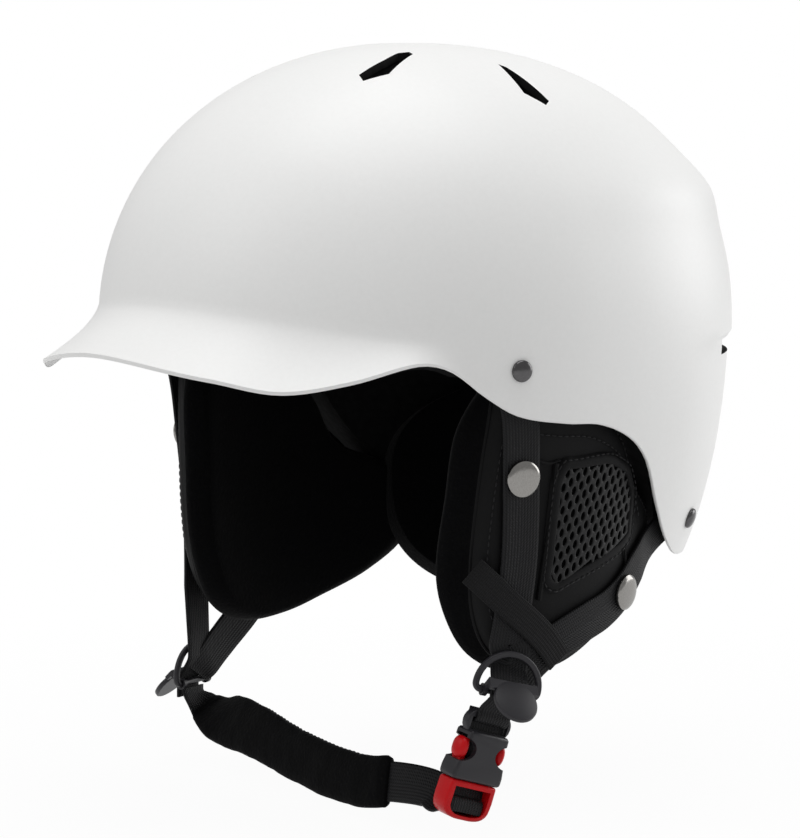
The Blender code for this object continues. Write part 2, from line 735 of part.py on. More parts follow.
def make_net(side_name, side, finish):
    """Sewn-in net: a grid of cells, each with a diamond gap."""
    lift = CLEAR + NET_THICKNESS / 2

    def spot(u, v):
        front = Vector(NET_FRONT_TOP).lerp(Vector(NET_FRONT_FOOT), v)
        bend = 2 * Vector(NET_REAR_BEND) - 0.5 * (Vector(NET_REAR_TOP) + Vector(NET_REAR_FOOT))
        top, foot = Vector(NET_REAR_TOP), Vector(NET_REAR_FOOT)
        rear = top * (1 - v) ** 2 + bend * 2 * v * (1 - v) + foot * v * v
        return front.lerp(rear, u)

    points = []
    faces = []
    index = {}

    def vertex(u, v, face):
        key = (round(u, 5), round(v, 5), face)
        if key not in index:
            turn, level = spot(u, v)
            index[key] = len(points)
            points.append(ear_point(turn, level * MM, lift + face * NET_THICKNESS / 2, side))
        return index[key]

    for column in range(NET_COLUMNS):
        for row in range(NET_ROWS):
            u0, v0 = column / NET_COLUMNS, row / NET_ROWS
            du, dv = 1 / NET_COLUMNS, 1 / NET_ROWS
            corners = [(u0, v0), (u0 + du, v0), (u0 + du, v0 + dv), (u0, v0 + dv)]
            mid_u, mid_v = u0 + du / 2, v0 + dv / 2
            gap_u, gap_v = du / 2 * NET_BAR, dv / 2 * NET_BAR
            tips = [(mid_u, mid_v - gap_v), (mid_u + gap_u, mid_v),
                    (mid_u, mid_v + gap_v), (mid_u - gap_u, mid_v)]
            for face in (-1, 1):
                for k in range(4):
                    a, b = vertex(*corners[k], face), vertex(*corners[(k + 1) % 4], face)
                    t, s = vertex(*tips[k], face), vertex(*tips[(k + 1) % 4], face)
                    faces.append((a, b, t))
                    faces.append((b, s, t))
            for k in range(4):
                t, s = tips[k], tips[(k + 1) % 4]
                faces.append((vertex(*t, -1), vertex(*s, -1), vertex(*s, 1), vertex(*t, 1)))
    border = [(k / NET_COLUMNS, 0.0) for k in range(NET_COLUMNS)]
    border += [(1.0, k / NET_ROWS) for k in range(NET_ROWS)]
    border += [(1 - k / NET_COLUMNS, 1.0) for k in range(NET_COLUMNS)]
    border += [(0.0, 1 - k / NET_ROWS) for k in range(NET_ROWS)]
    for k, spot_a in enumerate(border):
        spot_b = border[(k + 1) % len(border)]
        faces.append((vertex(*spot_a, -1), vertex(*spot_b, -1), vertex(*spot_b, 1), vertex(*spot_a, 1)))
    return solid(f"ear_net_{side_name}", points, faces, finish)


# Harness

def web_point(turn, z, lift, side):
    """Middle of the webbing: inside the shell near its rivet, on the ear pad below it."""
    half = WEB_THICKNESS / 2
    wall = SHELL_WALL + recess_inside(turn, z)
    under = dome_point(math.radians(turn), z, wall + WEB_UNDER_SHELL + half)
    on_pad = ear_point(turn, z, CLEAR + half + lift)
    share = smooth_step(z, -34 * MM, -16 * MM) if turn < 90 else smooth_step(turn, 113, 128)
    return mirrored(on_pad.lerp(under, share), side)


def web_normal(turn, z, side):
    """Outward direction of the face that the webbing lies on."""
    ahead = web_point(turn + 0.5, z, 0, side) - web_point(turn - 0.5, z, 0, side)
    upward = web_point(turn, z + 0.5 * MM, 0, side) - web_point(turn, z - 0.5 * MM, 0, side)
    return (ahead.cross(upward) * side).normalized()


def route_webbing(route, count, side, lift):
    """Centres and width directions of webbing along a (degrees, height) route, raised by lift(share)."""
    spots = curve_points(route, count)
    centres = [web_point(p[0], p[1] * MM, lift(k / (count - 1)), side) for k, p in enumerate(spots)]
    widths = []
    for k, p in enumerate(spots):
        along = centres[min(k + 1, count - 1)] - centres[max(k - 1, 0)]
        widths.append(web_normal(p[0], p[1] * MM, side).cross(along).normalized())
    return centres, widths


def ring_frame(side_name, side):
    """Divider frame: X along the bar towards the rear, Y outwards, Z up, origin on the bar's axis.

    The ring rolls a little, with the rear end of its bar lower.
    """
    level = RING_LEVEL[side_name]
    out = ear_point(RING_ANGLE, level, 1.0, side) - ear_point(RING_ANGLE, level, 0.0, side)
    across = Vector((math.cos(math.radians(RING_ANGLE)) * side, math.sin(math.radians(RING_ANGLE)), 0))
    lift = WEB_THICKNESS + 3 * CLEAR + RING_BAR_RADIUS + EAR_TAPER * RING_HEIGHT
    origin = ear_point(RING_ANGLE, level, lift, side)
    roll = math.radians(RING_ROLL[side_name])
    upright = Vector((0, 0, 1))
    bar = across * math.cos(roll) - upright * math.sin(roll)
    rise = upright * math.cos(roll) + across * math.sin(roll)
    frame = Matrix((bar, out.normalized(), rise)).transposed().to_4x4()
    frame.translation = origin
    return frame


def buckle_frame():
    """Buckle frame: X across towards the rear, Y outwards, Z along the pull, origin at the socket's mouth."""
    pull = BUCKLE_PULL.normalized()
    face = (BUCKLE_FACE - pull * BUCKLE_FACE.dot(pull)).normalized()
    across = face.cross(pull).normalized()
    if across.y < 0:
        across = -across
    frame = Matrix((across, face, pull)).transposed().to_4x4()
    frame.translation = BUCKLE_MOUTH
    return frame


def bar_wrap():
    """Half turn of webbing round a square buckle bar, as (outwards, along the pull) offsets."""
    wrap = BUCKLE_BAR / 2 + 2 * CLEAR + WEB_THICKNESS / 2
    shape = ((1.08, -0.7), (1.04, 0.2), (0.86, 0.82), (0.45, 1.0), (0, 1.03), (-0.45, 1.0), (-0.86, 0.82),
             (-1.0, 0.2), (-1.0, -0.5))
    return [(wrap * y, wrap * z) for y, z in shape]


def strap_drop(side_name, side):
    """Last stretch of the front webbing: behind the ring's arc, over its bar, then down."""
    frame = ring_frame(side_name, side)
    clear = RING_BAR_RADIUS + 2 * CLEAR + WEB_THICKNESS / 2
    arc = RING_HEIGHT
    shape = ((-1.0, arc + 1.5 * MM), (-1.05, arc - 2 * MM), (-0.9, arc - 5 * MM), (0, 0.4 * arc),
             (0.95, 2.6 * MM), (1.15, 0), (1.15, -2.6 * MM))
    return frame, [frame @ Vector((0, share * clear, z)) for share, z in shape]


def make_front_strap(side_name, side, finish):
    centres, widths = route_webbing(FRONT_ROUTE, 18, side, lambda share: 0.0)
    frame, drop = strap_drop(side_name, side)
    bar_width = frame.to_3x3() @ Vector((1, 0, 0))
    if side_name == "left":
        buckle = buckle_frame()
        ring = SOCKET_LENGTH + SOCKET_FRAME_LENGTH - BUCKLE_BAR / 2
        tail = [buckle @ Vector((0, y, z - ring)) for y, z in bar_wrap()]
        tail_width = buckle.to_3x3() @ Vector((1, 0, 0))
        free = curve_points([centres[-1]] + drop + tail, 33)[1:]
        middle = 9
    else:
        clear = RING_BAR_RADIUS + 2 * CLEAR + WEB_THICKNESS / 2
        tail = [frame @ Vector((0, 1.15 * clear, -RIGHT_TAIL))]
        tail_width = bar_width
        free = curve_points([centres[-1]] + drop + tail, 17)[1:]
        middle = 9
    start_width = widths[-1].normalized()
    if start_width.dot(bar_width) < 0:
        start_width = -start_width
        widths = [-w for w in widths]
    for k, _ in enumerate(free):
        share = min((k + 1) / middle, 1.0)
        late = max(min((k - middle - 3) / 4, 1.0), 0.0)
        widths.append(start_width.lerp(bar_width, share).lerp(tail_width, late))
    strap = webbing(f"strap_front_{side_name}", centres + free, widths, finish)
    cut_strap_holes(strap, side_name, side, "front", FRONT_RIVET, FRONT_SNAP)
    return strap


def cut_strap_holes(strap, side_name, side, end, rivet, snap):
    label = f"{end}_{side_name}"
    base, axis = rivet_seat(*rivet, side)
    boolean(strap, post(f"strap_rivet_hole_{label}", RIVET_SHANK_RADIUS + CLEAR, -12 * MM, 8 * MM, base, axis))
    base, axis = snap_seat(*snap, side)
    boolean(strap, post(f"strap_snap_hole_{label}", SNAP_POST_RADIUS + CLEAR, -2 * MM, 6 * MM, base, axis))


def make_rear_strap(side_name, side, finish):
    over = WEB_THICKNESS + CLEAR

    def lift(share):
        return over * smooth_step(share, 0.74, 0.84)

    centres, widths = route_webbing(REAR_ROUTE, 26, side, lift)
    strap = webbing(f"strap_rear_{side_name}", centres, widths, finish)
    cut_strap_holes(strap, side_name, side, "rear", REAR_RIVET, REAR_SNAP)
    return strap


def make_keeper(side_name, side, finish):
    over = WEB_THICKNESS + 2 * CLEAR

    def lift(share):
        return over * smooth_step(share, -0.15, 0.12) + over * smooth_step(share, 0.26, 0.46)

    centres, widths = route_webbing(KEEPER_ROUTE, 18, side, lift)
    return webbing(f"ear_keeper_{side_name}", centres, widths, finish, KEEPER_WIDTH, KEEPER_THICKNESS)


def rivet_seat(turn, level, side):
    """Point on the shell's outer face and the outward direction there."""
    angle = math.radians(turn)
    sunk = recess(turn, level * MM)
    outer = dome_point(angle, level * MM, sunk)
    inner = dome_point(angle, level * MM, sunk + SHELL_WALL)
    return mirrored(outer, side), mirrored((outer - inner).normalized(), side)


def make_rivet(end, spot, side_name, side, finish):
    base, axis = rivet_seat(*spot, side)
    stack = SHELL_WALL + WEB_UNDER_SHELL + WEB_THICKNESS + 2 * CLEAR
    foot = -stack - WASHER_THICKNESS
    head = RIVET_HEAD_RADIUS
    top = RIVET_HEAD_HEIGHT
    sag = 0.25 * MM
    profile = ((0, foot), (RIVET_SHANK_RADIUS, foot), (RIVET_SHANK_RADIUS, sag + CLEAR), (head, sag + CLEAR),
               (head, 0.35 * top + sag), (0.8 * head, 0.75 * top + sag), (0.45 * head, 0.96 * top + sag),
               (0, top + sag))
    turned(f"rivet_{end}_{side_name}", profile, base, axis, finish, 14)
    washer(f"rivet_washer_{end}_{side_name}", RIVET_SHANK_RADIUS + CLEAR, WASHER_RADIUS, foot, -stack, base,
           axis, finish)


def make_snap(end, spot, side_name, side, finish):
    base, axis = snap_seat(*spot, side)
    seat = CLEAR + WEB_THICKNESS + SNAP_GAP
    foot = -CLEAR
    top = seat + SNAP_HEIGHT
    rim = SNAP_RADIUS
    profile = ((0, foot), (SNAP_POST_RADIUS, foot), (SNAP_POST_RADIUS, seat), (rim, seat),
               (rim, seat + 0.4 * SNAP_HEIGHT), (0.86 * rim, seat + 0.78 * SNAP_HEIGHT),
               (0.5 * rim, seat + 0.97 * SNAP_HEIGHT), (0, top))
    turned(f"snap_cap_{end}_{side_name}", profile, base, axis, finish, 16)
    stud_top = foot - CLEAR
    stud = SNAP_STUD_RADIUS
    profile = ((0, stud_top - SNAP_STUD_HEIGHT), (stud, stud_top - SNAP_STUD_HEIGHT),
               (stud, stud_top - 0.4 * SNAP_STUD_HEIGHT), (0.55 * stud, stud_top), (0, stud_top))
    turned(f"snap_stud_{end}_{side_name}", profile, base, axis, finish, 12)


def d_ring_path():
    """D outline in the ring's plane: straight bar at the foot, round corners, arc above."""
    half = RING_WIDTH / 2 - RING_BAR_RADIUS
    corner = RING_CORNER
    points = [Vector((-half + corner, 0)), Vector((0, 0)), Vector((half - corner, 0))]
    turns = [(corner * math.sin(math.radians(a)), corner - corner * math.cos(math.radians(a))) for a in (30, 60, 90)]
    points += [Vector((half - corner + x, z)) for x, z in turns]
    arc = [math.radians(a) for a in range(18, 180, 18)]
    points += [Vector((half * math.cos(a), corner + (RING_HEIGHT - corner) * math.sin(a))) for a in arc]
    points += [Vector((-half + corner - x, z)) for x, z in reversed(turns)]
    return points


def make_divider(side_name, side, finish, flap_finish):
    frame = ring_frame(side_name, side)
    path = d_ring_path()
    total = len(path)
    sides = 8
    points = []
    for k, p in enumerate(path):
        along = (path[(k + 1) % total] - path[k - 1]).normalized()
        out = Vector((along.y, -along.x))
        for s in range(sides):
            angle = 2 * math.pi * (s + 0.5) / sides
            flat = p + out * RING_BAR_RADIUS * math.cos(angle)
            points.append(frame @ Vector((flat.x, RING_BAR_RADIUS * math.sin(angle), flat.y)))
    solid(f"divider_ring_{side_name}", points, rings_to_faces(total, sides, True), finish)
    make_flap(side_name, side, frame, flap_finish)


def make_flap(side_name, side, frame, finish):
    """Round flap on two knuckles that turn on the ring's bar, outside the webbing."""
    tilt = Matrix.Rotation(math.radians(180 + FLAP_TILT), 4, "X")
    local = frame @ tilt
    low = -FLAP_RISE - FLAP_THICKNESS
    high = -FLAP_RISE
    knuckle_from = WEB_WIDTH / 2 + KNUCKLE_SIDE_GAP
    knuckle_to = knuckle_from + KNUCKLE_LENGTH
    bore = RING_BAR_RADIUS + CLEAR
    barrel = bore + KNUCKLE_WALL
    hinge = frame.translation.copy()
    out = local.to_3x3() @ Vector((0, -1, 0))
    disc_centre = local @ Vector((0, high, FLAP_START + FLAP_RADIUS))
    rounding = 0.3 * FLAP_THICKNESS
    flap = turned(f"divider_flap_{side_name}",
                  ((0, 0), (FLAP_RADIUS, 0), (FLAP_RADIUS, FLAP_THICKNESS - rounding),
                   (FLAP_RADIUS - rounding, FLAP_THICKNESS), (0, FLAP_THICKNESS)), disc_centre, out, finish, 20)
    lug_top = FLAP_START + 0.5 * FLAP_RADIUS
    cross = block(f"flap_cross_{side_name}", (-knuckle_to, low + 0.2 * MM, FLAP_START + 0.2 * MM),
                  (knuckle_to, high - 0.2 * MM, lug_top), local)
    boolean(flap, cross, "UNION")
    across = (local.to_3x3() @ Vector((1, 0, 0))).normalized()
    for hand in (-1, 1):
        foot, top = sorted((hand * knuckle_from, hand * knuckle_to))
        arm = block(f"flap_arm_{side_name}_{hand + 1}", (foot + 0.1 * MM, low + 0.4 * MM, -0.9 * MM),
                    (top - 0.1 * MM, -0.2 * MM, FLAP_START + 1.9 * MM), local)
        boolean(flap, arm, "UNION")
        tube = post(f"flap_knuckle_{side_name}_{hand + 1}", barrel, foot, top, hinge, across, 12)
        boolean(flap, tube, "UNION")
    boolean(flap, post(f"flap_bore_{side_name}", bore, -2 * knuckle_to, 2 * knuckle_to, hinge, across, 12))
    hinge_at(flap, hinge)


# Buckle and chin strap

def make_buckle(socket_finish, plug_finish):
    frame = buckle_frame()
    half = SOCKET_WIDTH / 2
    deep = SOCKET_THICKNESS / 2
    inside = half - SOCKET_WALL
    room = PRONG_THICKNESS / 2 + 0.6 * MM
    top = -SOCKET_LENGTH
    neck = SOCKET_FRAME_WIDTH / 2
    outline = ((-half, 0), (-half, 0.55 * top), (-half + 1.2 * MM, 0.9 * top), (-neck, top), (neck, top),
               (half - 1.2 * MM, 0.9 * top), (half, 0.55 * top), (half, 0))
    socket = prism("buckle_socket", outline, -deep, deep, frame, socket_finish)
    bevel(socket, 0.9 * MM)
    bar_half = BUCKLE_BAR / 2
    frame_top = top - SOCKET_FRAME_LENGTH
    yoke = prism("socket_yoke", ((-neck, top + 1 * MM), (-neck, frame_top + 2 * MM), (-neck + 2 * MM, frame_top),
                                 (neck - 2 * MM, frame_top), (neck, frame_top + 2 * MM), (neck, top + 1 * MM)),
                 -bar_half, bar_half, frame)
    boolean(socket, yoke, "UNION")
    window = WEB_WIDTH / 2 + 1.0 * MM
    boolean(socket, block("socket_web_window", (-window, -2 * bar_half, frame_top + BUCKLE_BAR),
                          (window, 2 * bar_half, top - 0.2 * MM), frame))
    boolean(socket, block("socket_cavity", (-inside, -room, top + 2 * MM), (inside, room, 1 * MM), frame))
    notch_top = -NOTCH_START - NOTCH_LENGTH
    for hand in (-1, 1):
        near, far = sorted((hand * (half - NOTCH_DEPTH), hand * (half + 2 * MM)))
        boolean(socket, block(f"socket_notch_{hand + 1}", (near, -2 * deep, notch_top),
                              (far, 2 * deep, -NOTCH_START), frame))

    wide = PLUG_WIDTH / 2
    thick = PLUG_THICKNESS / 2
    foot = PLUG_LENGTH
    face = CLEAR + 0.1 * MM
    plug = prism("buckle_plug", ((-wide, face), (wide, face), (wide, 0.62 * foot), (wide - 2.4 * MM, foot),
                                 (-wide + 2.4 * MM, foot), (-wide, 0.62 * foot)), -thick, thick, frame, plug_finish)
    bevel(plug, 0.9 * MM)
    boolean(plug, block("plug_web_window", (-window, -2 * thick, PLUG_BASE),
                        (window, 2 * thick, foot - BUCKLE_BAR), frame))
    relief = window - 0.2 * MM
    bar_from = foot - BUCKLE_BAR - 0.6 * MM
    for hand in (-1, 1):
        near, far = sorted((hand * bar_half, hand * 2 * thick))
        boolean(plug, block(f"plug_bar_relief_{hand + 1}", (-relief, near, bar_from),
                            (relief, far, foot + 1 * MM), frame))

    root = PRONG_WIDTH / 2
    outer = inside - CLEAR
    centre = outer - root
    pivot = PRONG_SEAT - root
    for hand, end in ((-1, "front"), (1, "rear")):
        knuckle = [(centre + root * math.cos(math.radians(a)), pivot + root * math.sin(math.radians(a)))
                   for a in (0, 30, 60, 90, 120, 150, 180)]
        shoulder = -NOTCH_START - 0.6 * MM
        tip = -PRONG_LENGTH
        arm = [(outer - PRONG_WIDTH, tip + 0.6 * MM), (outer - PRONG_WIDTH + 0.8 * MM, tip),
               (outer - 0.6 * MM, tip + 0.3 * MM), (outer + 0.75 * PRONG_BARB, tip + 2.2 * MM),
               (outer + PRONG_BARB, 0.5 * (tip + shoulder)), (outer + PRONG_BARB, shoulder), (outer, shoulder)]
        shape = [(x * hand, z) for x, z in knuckle + arm]
        half_depth = PRONG_THICKNESS / 2
        prong = prism(f"buckle_prong_{end}", shape, -half_depth, half_depth, frame, plug_finish)
        hinge_at(prong, frame @ Vector((hand * centre, 0, pivot)))


def chin_path():
    """Centres and width directions of the chin strap, ending in its wrap round the plug's bar."""
    frame = buckle_frame()
    bar = PLUG_LENGTH - BUCKLE_BAR / 2
    across = frame.to_3x3() @ Vector((1, 0, 0))
    loop = [frame @ Vector((0, y, bar - z)) for y, z in reversed(bar_wrap())]
    divider = ring_frame("right", -1)
    start_gap = RING_BAR_RADIUS - WEB_THICKNESS / 2
    start = [divider @ Vector((0, start_gap, -2.6 * MM)), divider @ Vector((0, start_gap - 1.4 * MM, -6.5 * MM))]
    bar_width = divider.to_3x3() @ Vector((1, 0, 0))
    turn = [frame @ (Vector(p[:3]) * MM) for p in CHIN_TURN]
    turn_widths = []
    for p in CHIN_TURN:
        twist = math.radians(p[3])
        turn_widths.append(frame.to_3x3() @ Vector((math.cos(twist), 0, -math.sin(twist))))
    spots = start + [Vector(p) * MM for p, _ in CHIN_ROUTE] + turn + loop
    widths = [bar_width] * 2 + [Vector(w) for _, w in CHIN_ROUTE] + turn_widths + [across] * len(loop)
    count = 3 * len(spots)
    return curve_points(spots, count), curve_points(widths, count)


def make_chin(finish, pad_finish):
    centres, widths = chin_path()
    webbing("chin_strap", centres, widths, finish)
    inside = [k for k, c in enumerate(centres) if CHIN_PAD_FROM <= c.x <= CHIN_PAD_TO]
    slot_width = WEB_WIDTH / 2 + 0.6 * MM
    slot_deep = WEB_THICKNESS / 2 + 3 * CLEAR
    half = CHIN_PAD_WIDTH / 2
    deep = CHIN_PAD_THICKNESS / 2
    corners = 12
    outer_rings = []
    inner_rings = []
    for number, k in enumerate(inside):
        along = (centres[k + 1] - centres[k - 1]).normalized()
        across = (widths[k] - along * widths[k].dot(along)).normalized()
        up = along.cross(across).normalized()
        share = number / (len(inside) - 1)
        plump = 0.62 + 0.38 * min(1.0, 6 * share, 6 * (1 - share)) ** 0.5
        outer = []
        inner = []
        for c in range(corners):
            angle = 2 * math.pi * (c + 0.5) / corners
            x, y = math.cos(angle), math.sin(angle)
            bulge = (abs(x) ** 3 + abs(y) ** 3) ** (-1 / 3)
            square = 1 / max(abs(x), abs(y))
            outer.append(centres[k] + across * x * bulge * half + up * y * bulge * deep * plump)
            inner.append(centres[k] + across * x * square * slot_width + up * y * square * slot_deep)
        outer_rings.append(outer)
        inner_rings.append(inner)
    rings = outer_rings + list(reversed(inner_rings))
    points = [p for ring in rings for p in ring]
    solid("chin_pad", points, rings_to_faces(len(rings), corners, True), pad_finish)


def main():
    for old in list(bpy.data.objects):
        bpy.data.objects.remove(old, do_unlink=True)
    white = material("satin_white_abs", (0.88, 0.88, 0.88), 0.35)
    foam = material("black_eps_foam", (0.02, 0.02, 0.022), 0.9)
    plush = material("black_plush", (0.01, 0.01, 0.011), 0.95)
    fabric = material("black_softshell", (0.014, 0.014, 0.015), 0.85)
    net = material("black_net", (0.02, 0.02, 0.022), 0.7)
    web = material("black_webbing", (0.015, 0.015, 0.016), 0.75)
    nickel = material("nickel_plate", (0.6, 0.6, 0.6), 0.25, 1.0)
    charcoal = material("charcoal_acetal", (0.042, 0.04, 0.045), 0.45)
    red = material("red_acetal", (0.58, 0.013, 0.017), 0.4)

    make_shell(white)
    make_foam(foam)
    make_comfort_pads(plush)
    for side_name, side in SIDES:
        make_ear_pad(side_name, side, fabric, net)
        make_front_strap(side_name, side, web)
        make_rear_strap(side_name, side, web)
        make_keeper(side_name, side, web)
        for end, rivet, snap in (("front", FRONT_RIVET, FRONT_SNAP), ("rear", REAR_RIVET, REAR_SNAP)):
            make_rivet(end, rivet, side_name, side, nickel)
            make_snap(end, snap, side_name, side, nickel)
        make_divider(side_name, side, charcoal, charcoal)
    make_buckle(charcoal, red)
    make_chin(web, plush)

    root = bpy.data.objects.new("ski_helmet", None)
    bpy.context.scene.collection.objects.link(root)
    for made in bpy.data.objects:
        if made is not root:
            made.parent = root


main()
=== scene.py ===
"""Looks of the ski helmet: moulded white shell, black foam and pads, woven harness, snaps and buckle.

Metres, +Z up, the wearer looks along -Y and +X is the wearer's left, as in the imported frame.
"""
import math

import bmesh
import bpy
from mathutils import Matrix, Vector, noise


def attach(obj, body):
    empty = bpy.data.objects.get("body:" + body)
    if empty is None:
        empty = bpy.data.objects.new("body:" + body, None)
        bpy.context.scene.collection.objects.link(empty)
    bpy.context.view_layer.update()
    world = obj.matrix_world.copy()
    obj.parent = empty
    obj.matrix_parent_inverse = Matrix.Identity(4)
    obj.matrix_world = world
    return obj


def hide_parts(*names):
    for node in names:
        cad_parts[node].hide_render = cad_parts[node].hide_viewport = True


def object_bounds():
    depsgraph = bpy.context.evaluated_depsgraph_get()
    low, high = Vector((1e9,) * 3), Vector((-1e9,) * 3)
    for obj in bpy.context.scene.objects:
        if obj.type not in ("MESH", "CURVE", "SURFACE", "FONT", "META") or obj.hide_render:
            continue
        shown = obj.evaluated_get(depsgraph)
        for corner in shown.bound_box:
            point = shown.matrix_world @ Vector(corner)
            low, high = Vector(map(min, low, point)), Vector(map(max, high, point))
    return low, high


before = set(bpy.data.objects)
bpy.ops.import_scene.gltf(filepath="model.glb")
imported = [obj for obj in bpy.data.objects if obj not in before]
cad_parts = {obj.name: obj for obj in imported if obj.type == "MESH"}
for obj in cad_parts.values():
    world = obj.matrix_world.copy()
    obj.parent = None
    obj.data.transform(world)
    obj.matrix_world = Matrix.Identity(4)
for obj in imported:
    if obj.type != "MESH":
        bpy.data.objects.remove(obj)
CAD_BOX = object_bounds()

MM = 0.001
CLEAR = 0.3 * MM
SIDES = (("left", 1), ("right", -1))

# Shell sizes, the same as the frame's
SHELL_FRONT = 121.0 * MM
SHELL_REAR = 134.0 * MM
SHELL_HALF_WIDTH = 109.0 * MM
SHELL_CROWN = 107.2 * MM
SHELL_TAPER_DEPTH = 175.0 * MM
PLAN_FRONT_POWER = 2.0
PLAN_REAR_POWER = 2.25
DOME_POWER = 2.08
DOME_REAR_POWER = 0.12
REAR_BLEND = (70, 140)
SHELL_WALL = 3.0 * MM
SHOULDER_SWELL = 0.026
SHOULDER_HEIGHT = 52.0 * MM
SHOULDER_SPREAD = 11.0 * MM
# Heights of the lower edge and of the belt, millimetres at degrees from the front
SHELL_EDGE = ((-20, -8.8), (0, -2.6), (20, -8.8), (30, -13.0), (40, -9.9), (51, -4.2), (57, -6.8),
              (64, -17.0), (71, -24.6), (82, -28.4), (91, -30.0), (100, -36.5), (106, -46.0), (112, -62.5),
              (120, -77.5), (131, -87.5), (150, -88.0), (180, -84.0), (210, -88.0))
SHELL_BELT = ((-20, 11.5), (0, 13.5), (20, 11.5), (35, 8.0), (46, 5.0), (60, 2.0), (90, -4.0), (118, -6.0),
              (134, -3.5), (180, -3.5))
SHELL_COLUMNS = 224
RIM_THINNING = 9.0 * MM
BRIM_REACH = 27.0 * MM
BRIM_HALF_ANGLE = 60.0
BRIM_CURVE = 1.45
BRIM_TAPER = (2.2, 1.3)
FLARE_LIMIT = 1.15
RECESS_DEPTH = 1.4 * MM
RECESS_START = 117.0
RECESS_FULL = 134.0
RECESS_FADE = (-0.1, 0.8)
RECESS_INSIDE_FADE = (2.0 * MM, 16.0 * MM)
LEDGE_DROP = 2.0 * MM
SLOT_FROM = 14.0 * MM
SLOT_TO = 87.0 * MM
SLOT_HEIGHT = 6.0 * MM
# Outlines of the crown vents on the left in plan, millimetres
VENTS = (((28.6, -46.9), (33.2, -48.8), (36.1, -38.8), (26.4, -18.3), (23.4, -17.6), (22.1, -22.0),
          (25.3, -31.7)),
         ((43.9, 8.7), (46.6, 10.3), (55.6, 11.0), (68.1, 12.0), (69.9, 8.8), (63.7, 3.4), (53.4, 6.0)))

# Liner and pads
FOAM_COLUMNS = 144
FOAM_THICKNESS = 20.0 * MM
FOAM_GAP = 0.6 * MM
FOAM_BROW_DROP = 3.0 * MM
FOAM_REAR_RISE = 1.0 * MM
FOAM_BROW_TURN = 44
FOAM_TO_EAR = (57, 66)
FOAM_TO_REAR = (116, 130)
EAR_TUCK = 9.0 * MM
EAR_TOP_GAP = 1.2 * MM
STRAP_POCKET = 5.2 * MM
# Front and rear strap pockets: degrees where each starts, is full, leaves and ends, then its top's fade
STRAP_POCKETS = ((60, 66, 77, 83, 6 * MM, 16 * MM), (105, 112, 138, 146, -58 * MM, -46 * MM))
PAD_THICKNESS = 8.0 * MM
PAD_GAP = 0.7 * MM
CROWN_PAD_LENGTH = 112.0 * MM
CROWN_PAD_WIDTH = 84.0 * MM
BROW_PAD_HEIGHT = 32.0 * MM
SIDE_PAD_HEIGHT = 38.0 * MM
NAPE_PAD_BOTTOM = -133.0 * MM
NAPE_PAD_TOP = -34.0 * MM
NAPE_PAD_HALF_ANGLE = 58.0
EAR_HALF_WIDTH = SHELL_HALF_WIDTH - 7.0 * MM
EAR_FRONT = 113.0 * MM
EAR_REAR = 105.0 * MM
EAR_TAPER = 0.09
EAR_TAPER_START = -24.0 * MM
EAR_THICKNESS = 22.0 * MM
EAR_MM_PER_DEGREE = 1.72
# Free outline of the outer panel, degrees and millimetres
EAR_OUTLINE = ((125.0, -73), (122.5, -90), (111.0, -104.5), (98.0, -112.5), (87.0, -119), (76.0, -120.5),
               (68.0, -112.5), (64.2, -98), (63.6, -80), (64.8, -55), (66.5, -32))
EAR_TOP_FROM = 69.0
EAR_TOP_TO = 113.0
EAR_ROLL = 6.5
EAR_INNER_ROLL = 0.45
# Free outline of the plush lining towards the head, which is larger than the outer panel
EAR_LINING = ((130.0, -68), (133.0, -92), (121.5, -108.5), (103.5, -119.5), (90.5, -124), (77.5, -124),
              (66, -116.5), (59.5, -103), (56.4, -84), (58.4, -57), (61.0, -31))
# Seams on the outer panel: lift, radius, number of points and route
EAR_SEAMS = ((0.3, 1.1, 30, ((82.2, -44.0), (81.6, -60), (80.6, -78), (79.6, -94.5))),
             (0.05, 0.5, 14, ((106.5, -77.5), (107.6, -84.0), (108.4, -89.0))),
             (0.05, 0.5, 14, ((77.8, -42.5), (80.5, -43.8), (83.2, -43.0))))
NET_CORNERS = ((83.6, -45.5), (97.5, -45.5), (103.6, -50.0), (106.5, -58.0), (106.4, -76.0), (81.4, -91.0))
NET_MIDDLE = (94.5, -67.0)
NET_SHEET = 64.0 * MM
NET_LEAN = 28.0
NET_PITCH = 3.5 * MM
NET_OPENING = 0.62
NET_THICKNESS = 1.2 * MM
STITCH_PITCH = 2.8 * MM
STITCH_LENGTH = 2.1 * MM
STITCH_WIDTH = 0.55 * MM

# Harness
WEB_WIDTH = 15.0 * MM
WEB_THICKNESS = 1.3 * MM
WEB_UNDER_SHELL = 1.0 * MM
# Where the webbing passes under the shell: heights of the front strap and degrees of the rear one
WEB_FRONT_TUCK = (-34.0 * MM, -16.0 * MM)
WEB_REAR_TUCK = (113, 128)
YARN_PITCH_MM = 1.25
RIB_SHARE = 0.7
KEEPER_WIDTH = 11.0 * MM
KEEPER_THICKNESS = 1.0 * MM
FRONT_ROUTE = ((71.3, 2), (71.2, -8.5), (71.8, -18), (72.8, -28), (73.4, -48.2), (73.8, -64), (73.8, -80),
               (72.8, -98), (71.8, -110))
REAR_ROUTE = ((136.0, -72.0), (131.3, -73.9), (124.5, -76.8), (117.5, -82), (112, -89), (106.7, -96.3))
